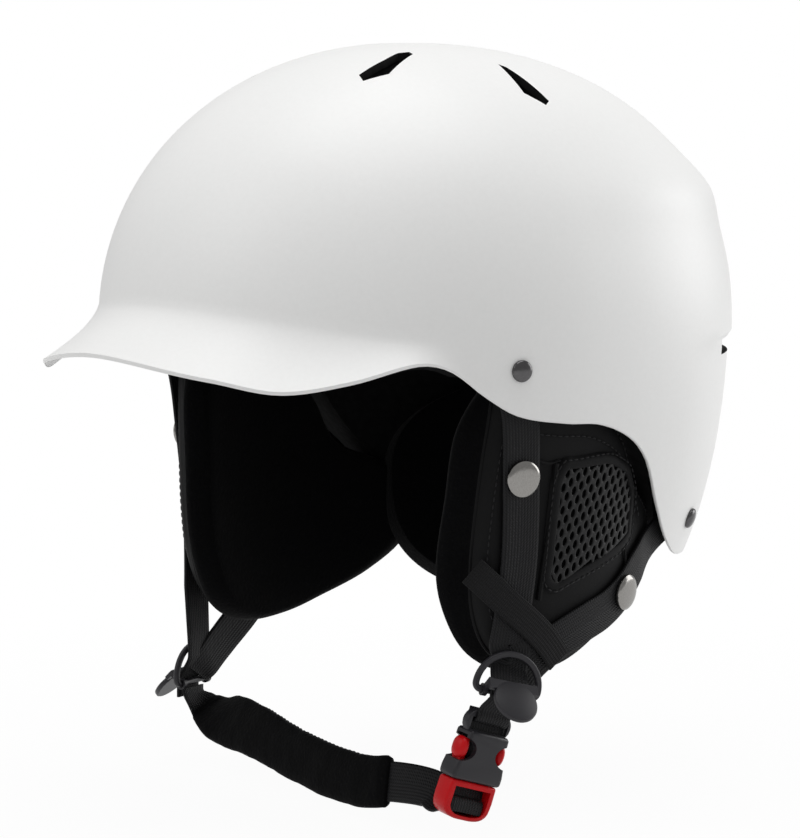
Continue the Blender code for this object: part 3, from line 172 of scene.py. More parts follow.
# Each rear strap ends in its divider, which hangs lower on the right
REAR_END = {"left": ((100.5, -101.6), (94.4, -104.8), (88.2, -108.6), (82.5, -113), (78, -118.3), (75, -124),
                     (73.5, -130)),
            "right": ((100.5, -105), (94.4, -114), (88.0, -124), (81.5, -132), (76.0, -138), (72.4, -142.5),
                      (71.0, -145.6))}
KEEPER_ROUTE = ((62.8, -81.3), (67, -88), (71.3, -94.9), (75.9, -101.4), (80.8, -109), (85.0, -117.5))
RIVETS = {"front": (71.2, -8.5), "rear": (131.3, -73.9)}
SNAPS = {"front": (73.4, -48.2), "rear": (106.7, -96.3)}
RIVET_RADIUS = 4.0 * MM
RIVET_HEIGHT = 2.0 * MM
SNAP_RADIUS = 6.75 * MM
SNAP_HEIGHT = 2.2 * MM
SNAP_GAP = 0.6 * MM
RING_ANGLE = 70.8
RING_LEVEL = {"left": -127.5 * MM, "right": -148.5 * MM}
RING_ROLL = {"left": 14.0, "right": 0.0}
RING_WIDTH = 27.6 * MM
RING_HEIGHT = 14.5 * MM
RING_BAR_RADIUS = 1.2 * MM
RING_CORNER = 2.4 * MM
RIGHT_TAIL = 6.0 * MM
FLAP_RADIUS = 8.6 * MM
FLAP_THICKNESS = 2.0 * MM
FLAP_TILT = 45.0
FLAP_RISE = 5.0 * MM
FLAP_START = -0.6 * MM
KNUCKLE_LENGTH = 1.7 * MM
KNUCKLE_SIDE_GAP = 0.6 * MM
KNUCKLE_WALL = 0.8 * MM
BUCKLE_MOUTH = Vector((85.6, -43.6, -159.2)) * MM
BUCKLE_PULL = Vector((-0.129, -0.289, -0.949))
BUCKLE_FACE = Vector((0.9945, -0.1045, 0.0))
SOCKET_WIDTH = 22.5 * MM
SOCKET_THICKNESS = 10.0 * MM
SOCKET_LENGTH = 18.5 * MM
SOCKET_WALL = 1.7 * MM
SOCKET_FRAME_LENGTH = 8.0 * MM
SOCKET_FRAME_WIDTH = 20.4 * MM
BUCKLE_BAR = 3.2 * MM
BUCKLE_WINDOW = WEB_WIDTH + 2.0 * MM
NOTCH_START = 7.0 * MM
NOTCH_LENGTH = 8.5 * MM
NOTCH_MIDDLE = -NOTCH_START - NOTCH_LENGTH / 2
PLUG_LIP = 3.2 * MM
PLUG_WIDTH = 21.0 * MM
PLUG_LENGTH = 11.2 * MM
PLUG_THICKNESS = 8.6 * MM
PLUG_BASE = 4.0 * MM
PRONG_WIDTH = 2.5 * MM
PRONG_THICKNESS = 4.8 * MM
PRONG_LENGTH = 15.2 * MM
PRONG_SEAT = 0.1 * MM
CHIN_ROUTE = (((-83.5, -28.5, -160.5), (0.3, 0.85, 0.4)), ((-66, -32, -161.5), (0.2, 0.55, 0.82)),
              ((-45, -36.5, -162), (0.1, 0.4, 0.91)), ((-12, -43, -165.5), (0, 0.27, 0.96)),
              ((15, -47.5, -167.2), (0, 0.22, 0.97)), ((35, -49.5, -167), (0, 0.22, 0.97)),
              ((50, -50.3, -164.5), (-0.05, 0.25, 0.96)), ((63, -48.5, -164), (0, 0.5, 0.86)))
CHIN_TURN = ((-3.5, -13.0, 8.4, 62.0), (-1.8, -8.8, 11.2, 28.0), (-0.4, -5.2, 12.4, 4.0))
CHIN_PAD_FROM = -88.0 * MM
CHIN_PAD_TO = 50.0 * MM
CHIN_PAD_WIDTH = 19.5 * MM
CHIN_PAD_THICKNESS = 7.0 * MM

# Forms of the shell, liner and pads

def smooth_step(value, low, high):
    share = min(max((value - low) / (high - low), 0.0), 1.0)
    return share * share * (3 - 2 * share)


def through(stations, at):
    """Smooth curve through (position, value) stations."""
    last = len(stations) - 1
    index = 0
    while index < last - 1 and at > stations[index + 1][0]:
        index += 1
    (x0, y0), (x1, y1) = stations[index], stations[index + 1]
    before = stations[max(index - 1, 0)]
    after = stations[min(index + 2, last)]
    slope0 = (y1 - before[1]) / (x1 - before[0])
    slope1 = (after[1] - y0) / (after[0] - x0)
    span = x1 - x0
    t = min(max((at - x0) / span, 0.0), 1.0)
    return ((2 * t ** 3 - 3 * t ** 2 + 1) * y0 + (t ** 3 - 2 * t ** 2 + t) * span * slope0
            + (3 * t ** 2 - 2 * t ** 3) * y1 + (t ** 3 - t ** 2) * span * slope1)


def curve_points(points, count, closed=False):
    """Catmull-Rom curve through points of any dimension, as count points."""
    points = [Vector(p) for p in points]
    total = len(points)
    spans = total if closed else total - 1
    result = []
    for step in range(count):
        place = step * spans / (count if closed else count - 1)
        index = min(int(place), spans - 1)
        t = place - index
        picks = []
        for shift in (-1, 0, 1, 2):
            wanted = index + shift
            picks.append(points[wanted % total] if closed else points[min(max(wanted, 0), total - 1)])
        a, b, c, d = picks
        result.append(0.5 * ((2 * b) + (c - a) * t + (2 * a - 5 * b + 4 * c - d) * t * t
                             + (3 * b - a - 3 * c + d) * t ** 3))
    return result


def plan_radius(angle):
    front = math.cos(angle) > 0
    reach = SHELL_FRONT if front else SHELL_REAR
    power = PLAN_FRONT_POWER if front else PLAN_REAR_POWER
    across = abs(math.sin(angle) / SHELL_HALF_WIDTH) ** power
    along = abs(math.cos(angle) / reach) ** power
    return (across + along) ** (-1 / power)


def turn_of(angle):
    """Degrees from the front, the same on both sides."""
    return abs(math.degrees(math.atan2(math.sin(angle), math.cos(angle))))


def dome_radius(angle, z):
    rear = smooth_step(turn_of(angle), *REAR_BLEND)
    if z < 0:
        share = math.sqrt(1 - (z / SHELL_TAPER_DEPTH) ** 2)
    else:
        power = DOME_POWER + DOME_REAR_POWER * rear
        share = max(1 - (min(z / SHELL_CROWN, 1.0)) ** power, 0.0) ** (1 / power)
        share += rear * SHOULDER_SWELL * math.exp(-((z - SHOULDER_HEIGHT) / SHOULDER_SPREAD) ** 2)
    return plan_radius(angle) * share


def polar(angle, radius, z):
    return Vector((radius * math.sin(angle), -radius * math.cos(angle), z))


def edge_height(turn):
    return through(SHELL_EDGE, turn) * MM


def belt_height(turn):
    return through(SHELL_BELT, turn) * MM


def flared_radius(angle, z):
    """Radius of the dome with the brim's flare below the belt."""
    turn = turn_of(angle)
    low = edge_height(turn)
    high = belt_height(turn)
    share = min(max((high - z) / (high - low), 0.0), FLARE_LIMIT)
    reach = BRIM_REACH * (1 - min(turn / BRIM_HALF_ANGLE, 1.0) ** BRIM_TAPER[0]) ** BRIM_TAPER[1]
    return dome_radius(angle, z) + reach * share ** BRIM_CURVE


def recess(turn, z):
    """Depth of the rear recess just below its ledge, fading towards the lower edge."""
    low = edge_height(turn)
    share = (z - low) / (belt_height(turn) - low)
    return RECESS_DEPTH * smooth_step(turn, RECESS_START, RECESS_FULL) * smooth_step(share, *RECESS_FADE)


def recess_inside(turn, z):
    """Depth of the recess as the inside follows it, past the ledge."""
    belt = belt_height(turn)
    start, end = RECESS_INSIDE_FADE
    return recess(turn, min(z, belt)) * (1 - smooth_step(z, belt + start, belt + end))


def surface_point(radius, angle, z, depth):
    """Point depth metres under the surface radius(angle, z), along its normal."""
    step = 0.02
    lift = 0.6 * MM
    here = polar(angle, radius(angle, z), z)
    if z > SHELL_CROWN - 1.0 * MM:
        return here - Vector((0, 0, depth))
    ahead, behind = angle + step, angle - step
    above, below = z + lift, z - lift
    round_it = polar(ahead, radius(ahead, z), z) - polar(behind, radius(behind, z), z)
    upward = polar(angle, radius(angle, above), above) - polar(angle, radius(angle, below), below)
    return here - round_it.cross(upward).normalized() * depth


def dome_point(angle, z, depth):
    return surface_point(dome_radius, angle, z, depth)


def under_dome(x, y, depth):
    """Height of the offset dome above a point of the plan."""
    angle = math.atan2(x, -y)
    wanted = math.hypot(x, y)
    low, high = 0.0, SHELL_CROWN
    for _ in range(24):
        middle = (low + high) / 2
        point = dome_point(angle, middle, depth)
        if math.hypot(point.x, point.y) > wanted:
            low = middle
        else:
            high = middle
    return dome_point(angle, low, depth).z


def ear_point(turn, z, lift, side=1):
    """Point on the ear pad's outer face, lift metres outside it."""
    angle = math.radians(turn)
    reach = EAR_FRONT if math.cos(angle) > 0 else EAR_REAR
    radius = 1 / math.hypot(math.sin(angle) / EAR_HALF_WIDTH, math.cos(angle) / reach)
    radius -= EAR_TAPER * max(EAR_TAPER_START - z, 0.0)
    return mirrored(polar(angle, radius + lift, z), side)


def mirrored(point, side):
    return Vector((point.x * side, point.y, point.z))


def foam_edge(turn):
    """Height of the foam's lower edge, behind the brim, over the ear pad and at the rear."""
    brow = edge_height(max(turn, FOAM_BROW_TURN)) - FOAM_BROW_DROP
    ear = edge_height(turn) + EAR_TUCK + EAR_TOP_GAP
    rear = edge_height(turn) + FOAM_REAR_RISE
    to_ear = smooth_step(turn, *FOAM_TO_EAR)
    to_rear = smooth_step(turn, *FOAM_TO_REAR)
    return (brow * (1 - to_ear) + ear * to_ear) * (1 - to_rear) + rear * to_rear


def strap_pocket(turn, z):
    """Relief in the foam for the webbing ends and rivets."""
    shares = []
    for start, full, leave, end, low, high in STRAP_POCKETS:
        share = smooth_step(turn, start, full) * (1 - smooth_step(turn, leave, end))
        shares.append(share * (1 - smooth_step(z, low, high)))
    return STRAP_POCKET * max(shares)


# Materials

def linear(code):
    """sRGB hex colour as linear RGBA."""
    parts = [int(code[k:k + 2], 16) / 255 for k in (1, 3, 5)]
    return tuple(p / 12.92 if p <= 0.04045 else ((p + 0.055) / 1.055) ** 2.4 for p in parts) + (1.0,)


def add(tree, kind, inputs=None, **settings):
    """Adds a node with its settings, and its inputs from values or from other nodes' sockets."""
    made = tree.nodes.new(kind)
    for key, value in settings.items():
        setattr(made, key, value)
    for key, value in (inputs or {}).items():
        if isinstance(value, bpy.types.NodeSocket):
            tree.links.new(value, made.inputs[key])
        else:
            made.inputs[key].default_value = value
    return made


def blank(name, roughness, metallic=0.0, **sockets):
    made = bpy.data.materials.new(name)
    made.use_nodes = True
    shader = made.node_tree.nodes["Principled BSDF"]
    shader.inputs["Roughness"].default_value = roughness
    shader.inputs["Metallic"].default_value = metallic
    for key, value in sockets.items():
        shader.inputs[key.replace("_", " ").title().replace("Ior", "IOR")].default_value = value
    return made, made.node_tree, shader


def per_metre(size_mm):
    """Texture scale that repeats every size_mm."""
    return 1 / (size_mm * MM)


def two_tone(tree, shader, factor, dark, light):
    mix = add(tree, "ShaderNodeMix", {"Factor": factor}, data_type="RGBA")
    mix.inputs[6].default_value = linear(dark)
    mix.inputs[7].default_value = linear(light)
    tree.links.new(mix.outputs[2], shader.inputs["Base Color"])


def raised(tree, shader, height, depth_mm, strength):
    bump = add(tree, "ShaderNodeBump", {"Height": height, "Strength": strength, "Distance": depth_mm * MM})
    tree.links.new(bump.outputs[0], shader.inputs["Normal"])


def compute(tree, operation, *values):
    """Result of a math node over values or sockets."""
    return add(tree, "ShaderNodeMath", dict(enumerate(values)), operation=operation).outputs[0]


def grained(name, dark, light, size_mm, depth_mm, strength, roughness, metallic=0.0, cells=False, **sockets):
    """Surface with a grain of one size that tints it and raises it."""
    made, tree, shader = blank(name, roughness, metallic, **sockets)
    place = {"Vector": add(tree, "ShaderNodeTexCoord").outputs["Object"], "Scale": per_metre(size_mm)}
    if cells:
        height = compute(tree, "SUBTRACT", 1.0, add(tree, "ShaderNodeTexVoronoi", place).outputs["Distance"])
    else:
        height = add(tree, "ShaderNodeTexNoise", {**place, "Detail": 3.0}).outputs[0]
    two_tone(tree, shader, height, dark, light)
    raised(tree, shader, height, depth_mm, strength)
    return made


def woven(name, dark, light, pitch_mm, slant, roughness):
    """Webbing: a herringbone of yarns on the strap's own map, metres across and along."""
    made, tree, shader = blank(name, roughness, specular_ior_level=0.2, sheen_weight=0.02,
                               sheen_roughness=0.4)
    chart = add(tree, "ShaderNodeUVMap", uv_map="strap").outputs[0]
    across, along, _ = add(tree, "ShaderNodeSeparateXYZ", {0: chart}).outputs
    run = compute(tree, "ADD", along, compute(tree, "MULTIPLY", compute(tree, "ABSOLUTE", across), slant))
    ribs, yarns = [compute(tree, "SINE", compute(tree, "MULTIPLY", place, 2 * math.pi * per_metre(pitch)))
                   for place, pitch in ((run, pitch_mm), (across, YARN_PITCH_MM))]
    both = compute(tree, "MULTIPLY_ADD", ribs, RIB_SHARE, yarns)
    height = add(tree, "ShaderNodeMapRange", {0: both, 1: -1 - RIB_SHARE, 2: 1 + RIB_SHARE}).outputs[0]
    two_tone(tree, shader, height, dark, light)
    raised(tree, shader, height, 0.35, 0.7)
    return made


# Injection moulded ABS with a satin lacquer: soft wide highlights and a trace of orange peel
SHELL_WHITE = grained("satin_lacquered_abs", "#f1f1f0", "#f6f6f5", 1.6, 0.02, 0.04, 0.42)
# Expanded polystyrene, dyed through: pressed beads with dark joints
FOAM_BLACK = grained("black_eps_foam", "#0a0a0b", "#161617", 3.4, 0.35, 0.6, 0.8, cells=True,
                     specular_ior_level=0.2)
# Brushed pile: soft, dull, with a faint rim of light on its fibres. Drawn at 1.4 mm to show at all
PLUSH = grained("black_brushed_pile", "#040405", "#0c0c0d", 1.4, 0.5, 0.6, 0.95, sheen_weight=0.05,
                sheen_roughness=0.5, specular_ior_level=0.05)
# Softshell bonded to foam: smooth tight knit
SOFTSHELL = grained("black_softshell", "#09090a", "#101011", 0.9, 0.12, 0.4, 0.7, sheen_weight=0.02,
                    sheen_roughness=0.4, specular_ior_level=0.15)
# Spacer net of thick polyester yarn: slightly glossy
NET = grained("black_spacer_net", "#0c0c0d", "#151516", 0.8, 0.12, 0.4, 0.5, specular_ior_level=0.25)
# Polyester harness webbing, about 1.1 mm between ribs
WEBBING = woven("black_polyester_webbing", "#060607", "#1e1e20", 1.1, 0.9, 0.6)
# Smooth binding tape folded and sewn
TAPE = woven("black_binding_tape", "#0b0b0c", "#131314", 0.8, 0.0, 0.7)
# Bonded polyester sewing thread
THREAD = grained("black_sewing_thread", "#131314", "#222224", 0.5, 0.05, 0.3, 0.55, specular_ior_level=0.25)
# Nickel plated brass, pressed and barrelled: bright with a soft grain
NICKEL = grained("bright_nickel_plate", "#7f7d7a", "#989693", 0.6, 0.01, 0.08, 0.2, 1.0)
# The rivets are darker: black nickel over a domed head
BLACK_NICKEL = grained("black_nickel_plate", "#4e4d4e", "#646364", 0.6, 0.01, 0.08, 0.22, 1.0)
# Moulded acetal with a fine spark eroded texture
CHARCOAL = grained("charcoal_acetal", "#232226", "#2a292d", 0.5, 0.02, 0.15, 0.42, specular_ior_level=0.35)
RED = grained("red_acetal", "#c40c14", "#ce1017", 0.6, 0.015, 0.1, 0.3, specular_ior_level=0.2)


# Mesh helpers

def round_angles(count, start=0.0):
    return [2 * math.pi * (k + start) / count for k in range(count)]


def middle_of(points):
    points = [Vector(p) for p in points]
    return sum(points[1:], points[0]) / len(points)


def signed_power(value, power):
    return math.copysign(abs(value) ** power, value)


def placed(name, data):
    """New object in the scene."""
    made = bpy.data.objects.new(name, data)
    bpy.context.scene.collection.objects.link(made)
    return made


def smoothed(mesh, sharp):
    mesh.shade_smooth()
    mesh.set_sharp_from_angle(angle=math.radians(sharp))


def as_object(name, shape, finishes):
    mesh = bpy.data.meshes.new(name)
    shape.to_mesh(mesh)
    shape.free()
    for finish in finishes:
        mesh.materials.append(finish)
    return placed(name, mesh)


def finish_mesh(name, shape, finishes, sharp):
    """Plain mesh object from a bmesh, merged, facing out and smooth."""
    bmesh.ops.remove_doubles(shape, verts=shape.verts, dist=0.002 * MM)
    bmesh.ops.recalc_face_normals(shape, faces=shape.faces)
    made = as_object(name, shape, finishes)
    smoothed(made.data, sharp)
    return made


def build(name, points, faces, finishes, sharp=38, slots=None):
    shape = bmesh.new()
    corners = [shape.verts.new(p) for p in points]
    for number, face in enumerate(faces):
        made = shape.faces.new([corners[k] for k in face])
        if slots:
            made.material_index = slots[number]
    return finish_mesh(name, shape, finishes, sharp)


def ring_faces(rings, count, closed=False):
    faces = []
    for ring in range(rings if closed else rings - 1):
        after = (ring + 1) % rings
        for k in range(count):
            n = (k + 1) % count
            faces.append((ring * count + k, ring * count + n, after * count + n, after * count + k))
    return faces


def fan(ring, count, tip):
    """Triangles from a ring of points to the point tip."""
    first = ring * count
    return [(first + k, first + (k + 1) % count, tip) for k in range(count)]


def loft(name, rings, finishes, closed=False, sharp=38):
    """Skin over rings with the same number of points, with fan ends where it is open."""
    count = len(rings[0])
    points = [p for ring in rings for p in ring]
    faces = ring_faces(len(rings), count, closed)
    if not closed:
        for ring in (0, len(rings) - 1):
            points.append(middle_of(rings[ring]))
            faces += fan(ring, count, len(points) - 1)
    return build(name, points, faces, finishes, sharp)


def lathe(name, profile, base, axis, finishes, sides=40, sharp=32):
    """Turned piece from (radius, height) pairs that start and end on the axis."""
    turn = axis.to_track_quat("Z", "Y").to_matrix()
    rings = []
    for radius, height in profile:
        spots = [Vector((radius * math.cos(a), radius * math.sin(a), height)) for a in round_angles(sides)]
        rings.append([base + turn @ spot for spot in spots])
    return loft(name, rings, finishes, sharp=sharp)


def sweep(name, path, ring_at, finishes, closed, sharp=38):
    """Skin along a path: ring_at(point, along) returns the ring there."""
    total = len(path)
    rings = []
    for k, point in enumerate(path):
        after = path[(k + 1) % total] if closed else path[min(k + 1, total - 1)]
        before = path[k - 1] if closed else path[max(k - 1, 0)]
        rings.append(ring_at(point, (after - before).normalized()))
    return loft(name, rings, finishes, closed, sharp)


def piping(name, path, radius, closed=False):
    """Round cord of cloth along a path."""
    slanted = Vector((0.31, 0.17, 0.93))

    def ring(point, along):
        side = along.cross(slanted).normalized()
        up = along.cross(side)
        return [point + side * radius * math.cos(a) + up * radius * math.sin(a) for a in round_angles(8)]
    return sweep(name, path, ring, [SOFTSHELL], closed)


def bake(made):
    """Turns an object's modifiers into its plain mesh."""
    bpy.context.view_layer.update()
    seen = made.evaluated_get(bpy.context.evaluated_depsgraph_get())
    mesh = bpy.data.meshes.new_from_object(seen)
    made.modifiers.clear()
    made.data = mesh


def cut(made, tools, operation="DIFFERENCE"):
    for tool in tools:
        change = made.modifiers.new(tool.name, "BOOLEAN")
        change.operation = operation
        change.solver = "EXACT"
        change.material_mode = "TRANSFER"
        change.object = tool
    bake(made)
    for tool in tools:
        bpy.data.objects.remove(tool, do_unlink=True)


def softened(made, width, segments=3, angle=30):
    rounding = made.modifiers.new("Rounding", "BEVEL")
    rounding.width = width
    rounding.segments = segments
    rounding.limit_method = "ANGLE"
    rounding.angle_limit = math.radians(angle)
    rounding.use_clamp_overlap = True
    bake(made)
    smoothed(made.data, 34)
    return made


def joined(name, parts):
    """One object from several, with their materials."""
    shape = bmesh.new()
    finishes = []
    for part in parts:
        start = len(shape.faces)
        shape.from_mesh(part.data)
        shape.faces.ensure_lookup_table()
        for face in shape.faces[start:]:
            finish = part.data.materials[face.material_index]
            if finish not in finishes:
                finishes.append(finish)
            face.material_index = finishes.index(finish)
        bpy.data.objects.remove(part, do_unlink=True)
    return as_object(name, shape, finishes)


def hand_in(made, slot, *nodes, body="helmet"):
    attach(made, body)
    if nodes:
        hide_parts(*nodes)


def prism(name, outline, low, high, place, finish):
    """Outline in the local XZ plane, drawn out along local Y."""
    count = len(outline)
    points = [place @ Vector((x, y, z)) for y in (low, high) for x, z in outline]
    faces = ring_faces(2, count) + [tuple(range(count)), tuple(range(count, 2 * count))]
    return build(name, points, faces, [finish])


def slab(name, low, high, place, finish):
    outline = ((low[0], low[2]), (high[0], low[2]), (high[0], high[2]), (low[0], high[2]))
    return prism(name, outline, low[1], high[1], place, finish)


# Node trees: named inputs set by their identifiers, then kept as plain meshes

def new_tree(name, **inputs):
    """Tree with named inputs of the given kinds, and its input sockets."""
    tree = bpy.data.node_groups.new(name, "GeometryNodeTree")
    for label, kind in inputs.items():
        tree.interface.new_socket(label, in_out="INPUT", socket_type=f"NodeSocket{kind}")
    tree.interface.new_socket("Result", in_out="OUTPUT", socket_type="NodeSocketGeometry")
    return tree, add(tree, "NodeGroupInput").outputs


def end_tree(tree, geometry, finish):
    real = add(tree, "GeometryNodeRealizeInstances", {0: geometry})
    dressed = add(tree, "GeometryNodeSetMaterial", {"Geometry": real.outputs[0], "Material": finish})
    add(tree, "NodeGroupOutput", {0: dressed.outputs[0]})
    return tree


def grown(made, tree, **inputs):
    change = made.modifiers.new(tree.name, "NODES")
    change.node_group = tree
    for item in tree.interface.items_tree:
        if item.name in inputs:
            change[item.identifier] = inputs[item.name]
    bake(made)
    return made


def stitch_tree():
    """Short thread stitches along any path."""
    tree, given = new_tree("thread_stitches", Path="Geometry", Pitch="Float", Length="Float", Width="Float",
                           Thread="Material")
    line = add(tree, "GeometryNodeMeshToCurve", {"Mesh": given["Path"]})
    spots = add(tree, "GeometryNodeCurveToPoints", {"Curve": line.outputs[0], "Length": given["Pitch"]},
                mode="LENGTH").outputs
    ball = add(tree, "GeometryNodeMeshUVSphere", {"Segments": 6, "Rings": 4, "Radius": 0.5})
    size = add(tree, "ShaderNodeCombineXYZ", {0: given["Width"], 1: given["Width"], 2: given["Length"]})
    laid = add(tree, "GeometryNodeInstanceOnPoints", {
        "Points": spots["Points"], "Instance": ball.outputs["Mesh"], "Rotation": spots["Rotation"],
        "Scale": size.outputs[0]})
    return end_tree(tree, laid.outputs[0], given["Thread"])


STITCHES = stitch_tree()


def stitches(name, path, closed=False):
    mesh = bpy.data.meshes.new(name)
    count = len(path)
    edges = [(k, (k + 1) % count) for k in range(count if closed else count - 1)]
    mesh.from_pydata([tuple(p) for p in path], edges, [])
    made = grown(placed(name, mesh), STITCHES, Pitch=STITCH_PITCH, Length=STITCH_LENGTH, Width=STITCH_WIDTH,
                 Thread=THREAD)
    made.data.shade_smooth()
    return made


# Shell and liner

def vent_tools(growth):
    """Upright cutters of the crown vents on both sides, grown by millimetres."""
    tools = []
    upright = Matrix.Rotation(math.radians(-90), 4, "X")
    for side_name, side in SIDES:
        for number, outline in enumerate(VENTS):
            middle = middle_of(outline)
            spots = [Vector(p) + (Vector(p) - middle).normalized() * growth for p in outline]
            flat = [(p.x * side * MM, p.y * MM) for p in spots]
            tools.append(prism(f"vent_tool_{side_name}_{number}", flat, -1.2 * SHELL_CROWN,
                               -0.4 * SHELL_CROWN, upright, FOAM_BLACK))
    return tools


def dome_rings(count, edge, drop, lower, upper, pair_at):
    """Outer and inner rings of a dome, from its edge(turn) up.

    lower has the shares of the height up to drop below the belt, upper the degrees from the belt to the
    crown, and pair_at(angle, turn, z, low) returns the outer and the inner point.
    """
    columns = []
    for angle in round_angles(count):
        turn = turn_of(angle)
        low, belt = edge(turn), belt_height(turn)
        rows = [low + (belt - drop - low) * share for share in lower]
        rows += [belt + (SHELL_CROWN - belt) * math.sin(math.radians(u)) for u in upper]
        columns.append([pair_at(angle, turn, z, low) for z in rows])
    rings = list(zip(*columns))
    return [[outer for outer, _ in ring] for ring in rings], [[inner for _, inner in ring] for ring in rings]


def make_shell():
    def wall_at(angle, turn, z, low):
        radius = flared_radius(angle, z)
        if z < belt_height(turn) - 0.5 * LEDGE_DROP:
            radius -= recess(turn, z)
        wall = SHELL_WALL * (0.5 + 0.5 * smooth_step(z - low, 0, RIM_THINNING))
        return polar(angle, radius, z), surface_point(flared_radius, angle, z, wall + recess_inside(turn, z))

    lower = (0, 0.02, 0.05, 0.09, 0.14, 0.2, 0.27, 0.35, 0.44, 0.53, 0.62, 0.71, 0.8, 0.88, 0.95, 1)
    upper = [2.1 * k for k in range(42)]
    outer, inner = dome_rings(SHELL_COLUMNS, edge_height, LEDGE_DROP, lower, upper, wall_at)
    rim = []
    for swing in (150, 120, 90, 60, 30):
        turn = math.radians(swing)
        ring = []
        for outside, inside in zip(outer[0], inner[0]):
            middle = (outside + inside) / 2
            half = outside - middle
            ring.append(middle + half * math.cos(turn) - Vector((0, 0, 0.8 * half.length * math.sin(turn))))
        rim.append(ring)
    shell = loft("shell", list(reversed(inner)) + rim + outer, [SHELL_WHITE], sharp=30)
    tools = vent_tools(0.0)
    top = belt_height(180) - LEDGE_DROP
    for side_name, side in SIDES:
        near, far = sorted((side * SLOT_FROM, side * SLOT_TO))
        tools.append(slab(f"slot_tool_{side_name}", (near, 0.3 * SHELL_REAR, top - SLOT_HEIGHT),
                          (far, 1.2 * SHELL_REAR, top), Matrix.Identity(4), FOAM_BLACK))
    # The cutters carry the black foam material onto the walls they cut in the white shell: painted shade in
    # the vents and the rear slot.
    cut(shell, tools)
    # Inside faces of the white shell, away from the brim, get the same black: painted shade inside the helmet
    # where no foam covers them.
    painted_shade_slot = list(shell.data.materials).index(FOAM_BLACK)
    for face in shell.data.polygons:
        x, y, z = face.center
        angle = math.atan2(x, -y)
        turn = turn_of(angle)
        above = z >= belt_height(turn)
        sunk = 0.0 if above else recess(turn, z)
        deep = flared_radius(angle, z) - sunk - math.hypot(x, y) > 0.45 * SHELL_WALL
        facing_in = face.normal.dot(face.center) < 0
        if deep and facing_in and (turn > BRIM_HALF_ANGLE or above):
            face.material_index = painted_shade_slot
    smoothed(shell.data, 30)
    hand_in(shell, "shell", "outer_shell")


def make_foam():
    depth = SHELL_WALL + FOAM_GAP

    def foam_at(angle, turn, z, _):
        outside = dome_point(angle, z, depth + recess_inside(turn, z) + strap_pocket(turn, z))
        return outside, dome_point(angle, z, depth + FOAM_THICKNESS)

    lower = [k / 12 for k in range(12)]
    outer, inner = dome_rings(FOAM_COLUMNS, foam_edge, 0, lower, range(0, 89, 4), foam_at)
    foam = loft("foam", list(reversed(inner)) + outer, [FOAM_BLACK])
    cut(foam, vent_tools(1.0))
    hand_in(foam, "foam", *[f"foam_{end}_{hand}" for end in ("front", "rear") for hand, _ in SIDES])


# Pads

def spread(outline):
    """Middle of an outline and its mean distance from there."""
    middle = middle_of(outline)
    return middle, sum((Vector(p) - middle).length for p in outline) / len(outline)


def rolled(angle, roll, reach, thickness, inner_roll):
    """Share of the outline and depth at an angle of a pad's rolled edge."""
    inset = roll * (1 - math.cos(math.radians(angle))) * (inner_roll if angle < 0 else 1.0)
    return 1 - inset / reach * 0.8, thickness / 2 * (1 - 0.94 * math.sin(math.radians(angle)))


def cushion(name, outline, place, thickness, finishes, roll, split=None, crown=0.0, inner_roll=1.0,
            lining=None):
    """Crowned pad over a closed outline.

    split is the share of the depth where the second finish starts, inner_roll the roll's share towards the
    head and lining the outline of the half towards the head, where it is another.
    """
    count = len(outline)
    middle, reach = spread(outline)
    profile = [rolled(angle, roll, reach, thickness, inner_roll) for angle in range(-90, 91, 12)]
    inner_flat, flat = profile[0][0], profile[-1][0]
    shares = (0.08, 0.25, 0.45, 0.65, 0.82, 0.93)
    inner = [(inner_flat * s, thickness * (0.985 + crown * (1 - s * s))) for s in shares]
    outer = [(flat * s, thickness * (0.015 + 0.015 * s)) for s in reversed(shares)]
    profile = inner + profile + outer
    points = []
    for share, depth in profile:
        inward = smooth_step(depth / thickness, 0.25, 0.6)
        for p, q in zip(outline, lining or outline):
            spot = middle + (Vector(p).lerp(Vector(q), inward) - middle) * share
            points.append(place(spot[0], spot[1], depth))
    faces = ring_faces(len(profile), count)
    slots = [1 if split and profile[k // count][1] > split * thickness else 0 for k in range(len(faces))]
    for ring in (0, len(profile) - 1):
        points.append(place(middle[0], middle[1], profile[ring][1]))
        faces += fan(ring, count, len(points) - 1)
        slots += [1 if split and ring == 0 else 0] * count
    return build(name, points, faces, finishes, 60, slots)


def oval_band(across, low, high, count, power=4.0):
    points = []
    for angle in round_angles(count):
        points.append((across * signed_power(math.cos(angle), 2 / power),
                       (low + high) / 2 + (high - low) / 2 * signed_power(math.sin(angle), 2 / power)))
    return points


def make_comfort_pads():
    seat = SHELL_WALL + FOAM_GAP + FOAM_THICKNESS + PAD_GAP

    def on_foam(centre, side=1):
        def place(across, up, depth):
            return mirrored(dome_point(math.radians(centre) + across, up, seat + depth), side)
        return place

    def on_crown(x, y, depth):
        return Vector((x, y, under_dome(x, y, seat) - depth))

    low = foam_edge(0) + 2 * MM
    pads = [("brow_pad", (math.radians(50), low, low + BROW_PAD_HEIGHT, 88), on_foam(0), 1.0)]
    low = foam_edge(90) + 3 * MM
    for side_name, side in SIDES:
        pads.append((f"side_pad_{side_name}", (math.radians(25), low, low + SIDE_PAD_HEIGHT, 72),
                     on_foam(88, side), 1.0))
    pads.append(("nape_pad", (math.radians(NAPE_PAD_HALF_ANGLE), NAPE_PAD_BOTTOM, NAPE_PAD_TOP, 110, 2.6),
                 on_foam(180), 1.4))
    half = CROWN_PAD_LENGTH / 2
    pads.append(("crown_pad", (CROWN_PAD_WIDTH / 2, -half, half, 72, 2.6), on_crown, 1.0))
    for node, band, place, plump in pads:
        pad = cushion(f"{node}_cover", oval_band(*band), place, PAD_THICKNESS * plump, [PLUSH], 4 * MM,
                      crown=0.12)
        hand_in(pad, "plush", node)


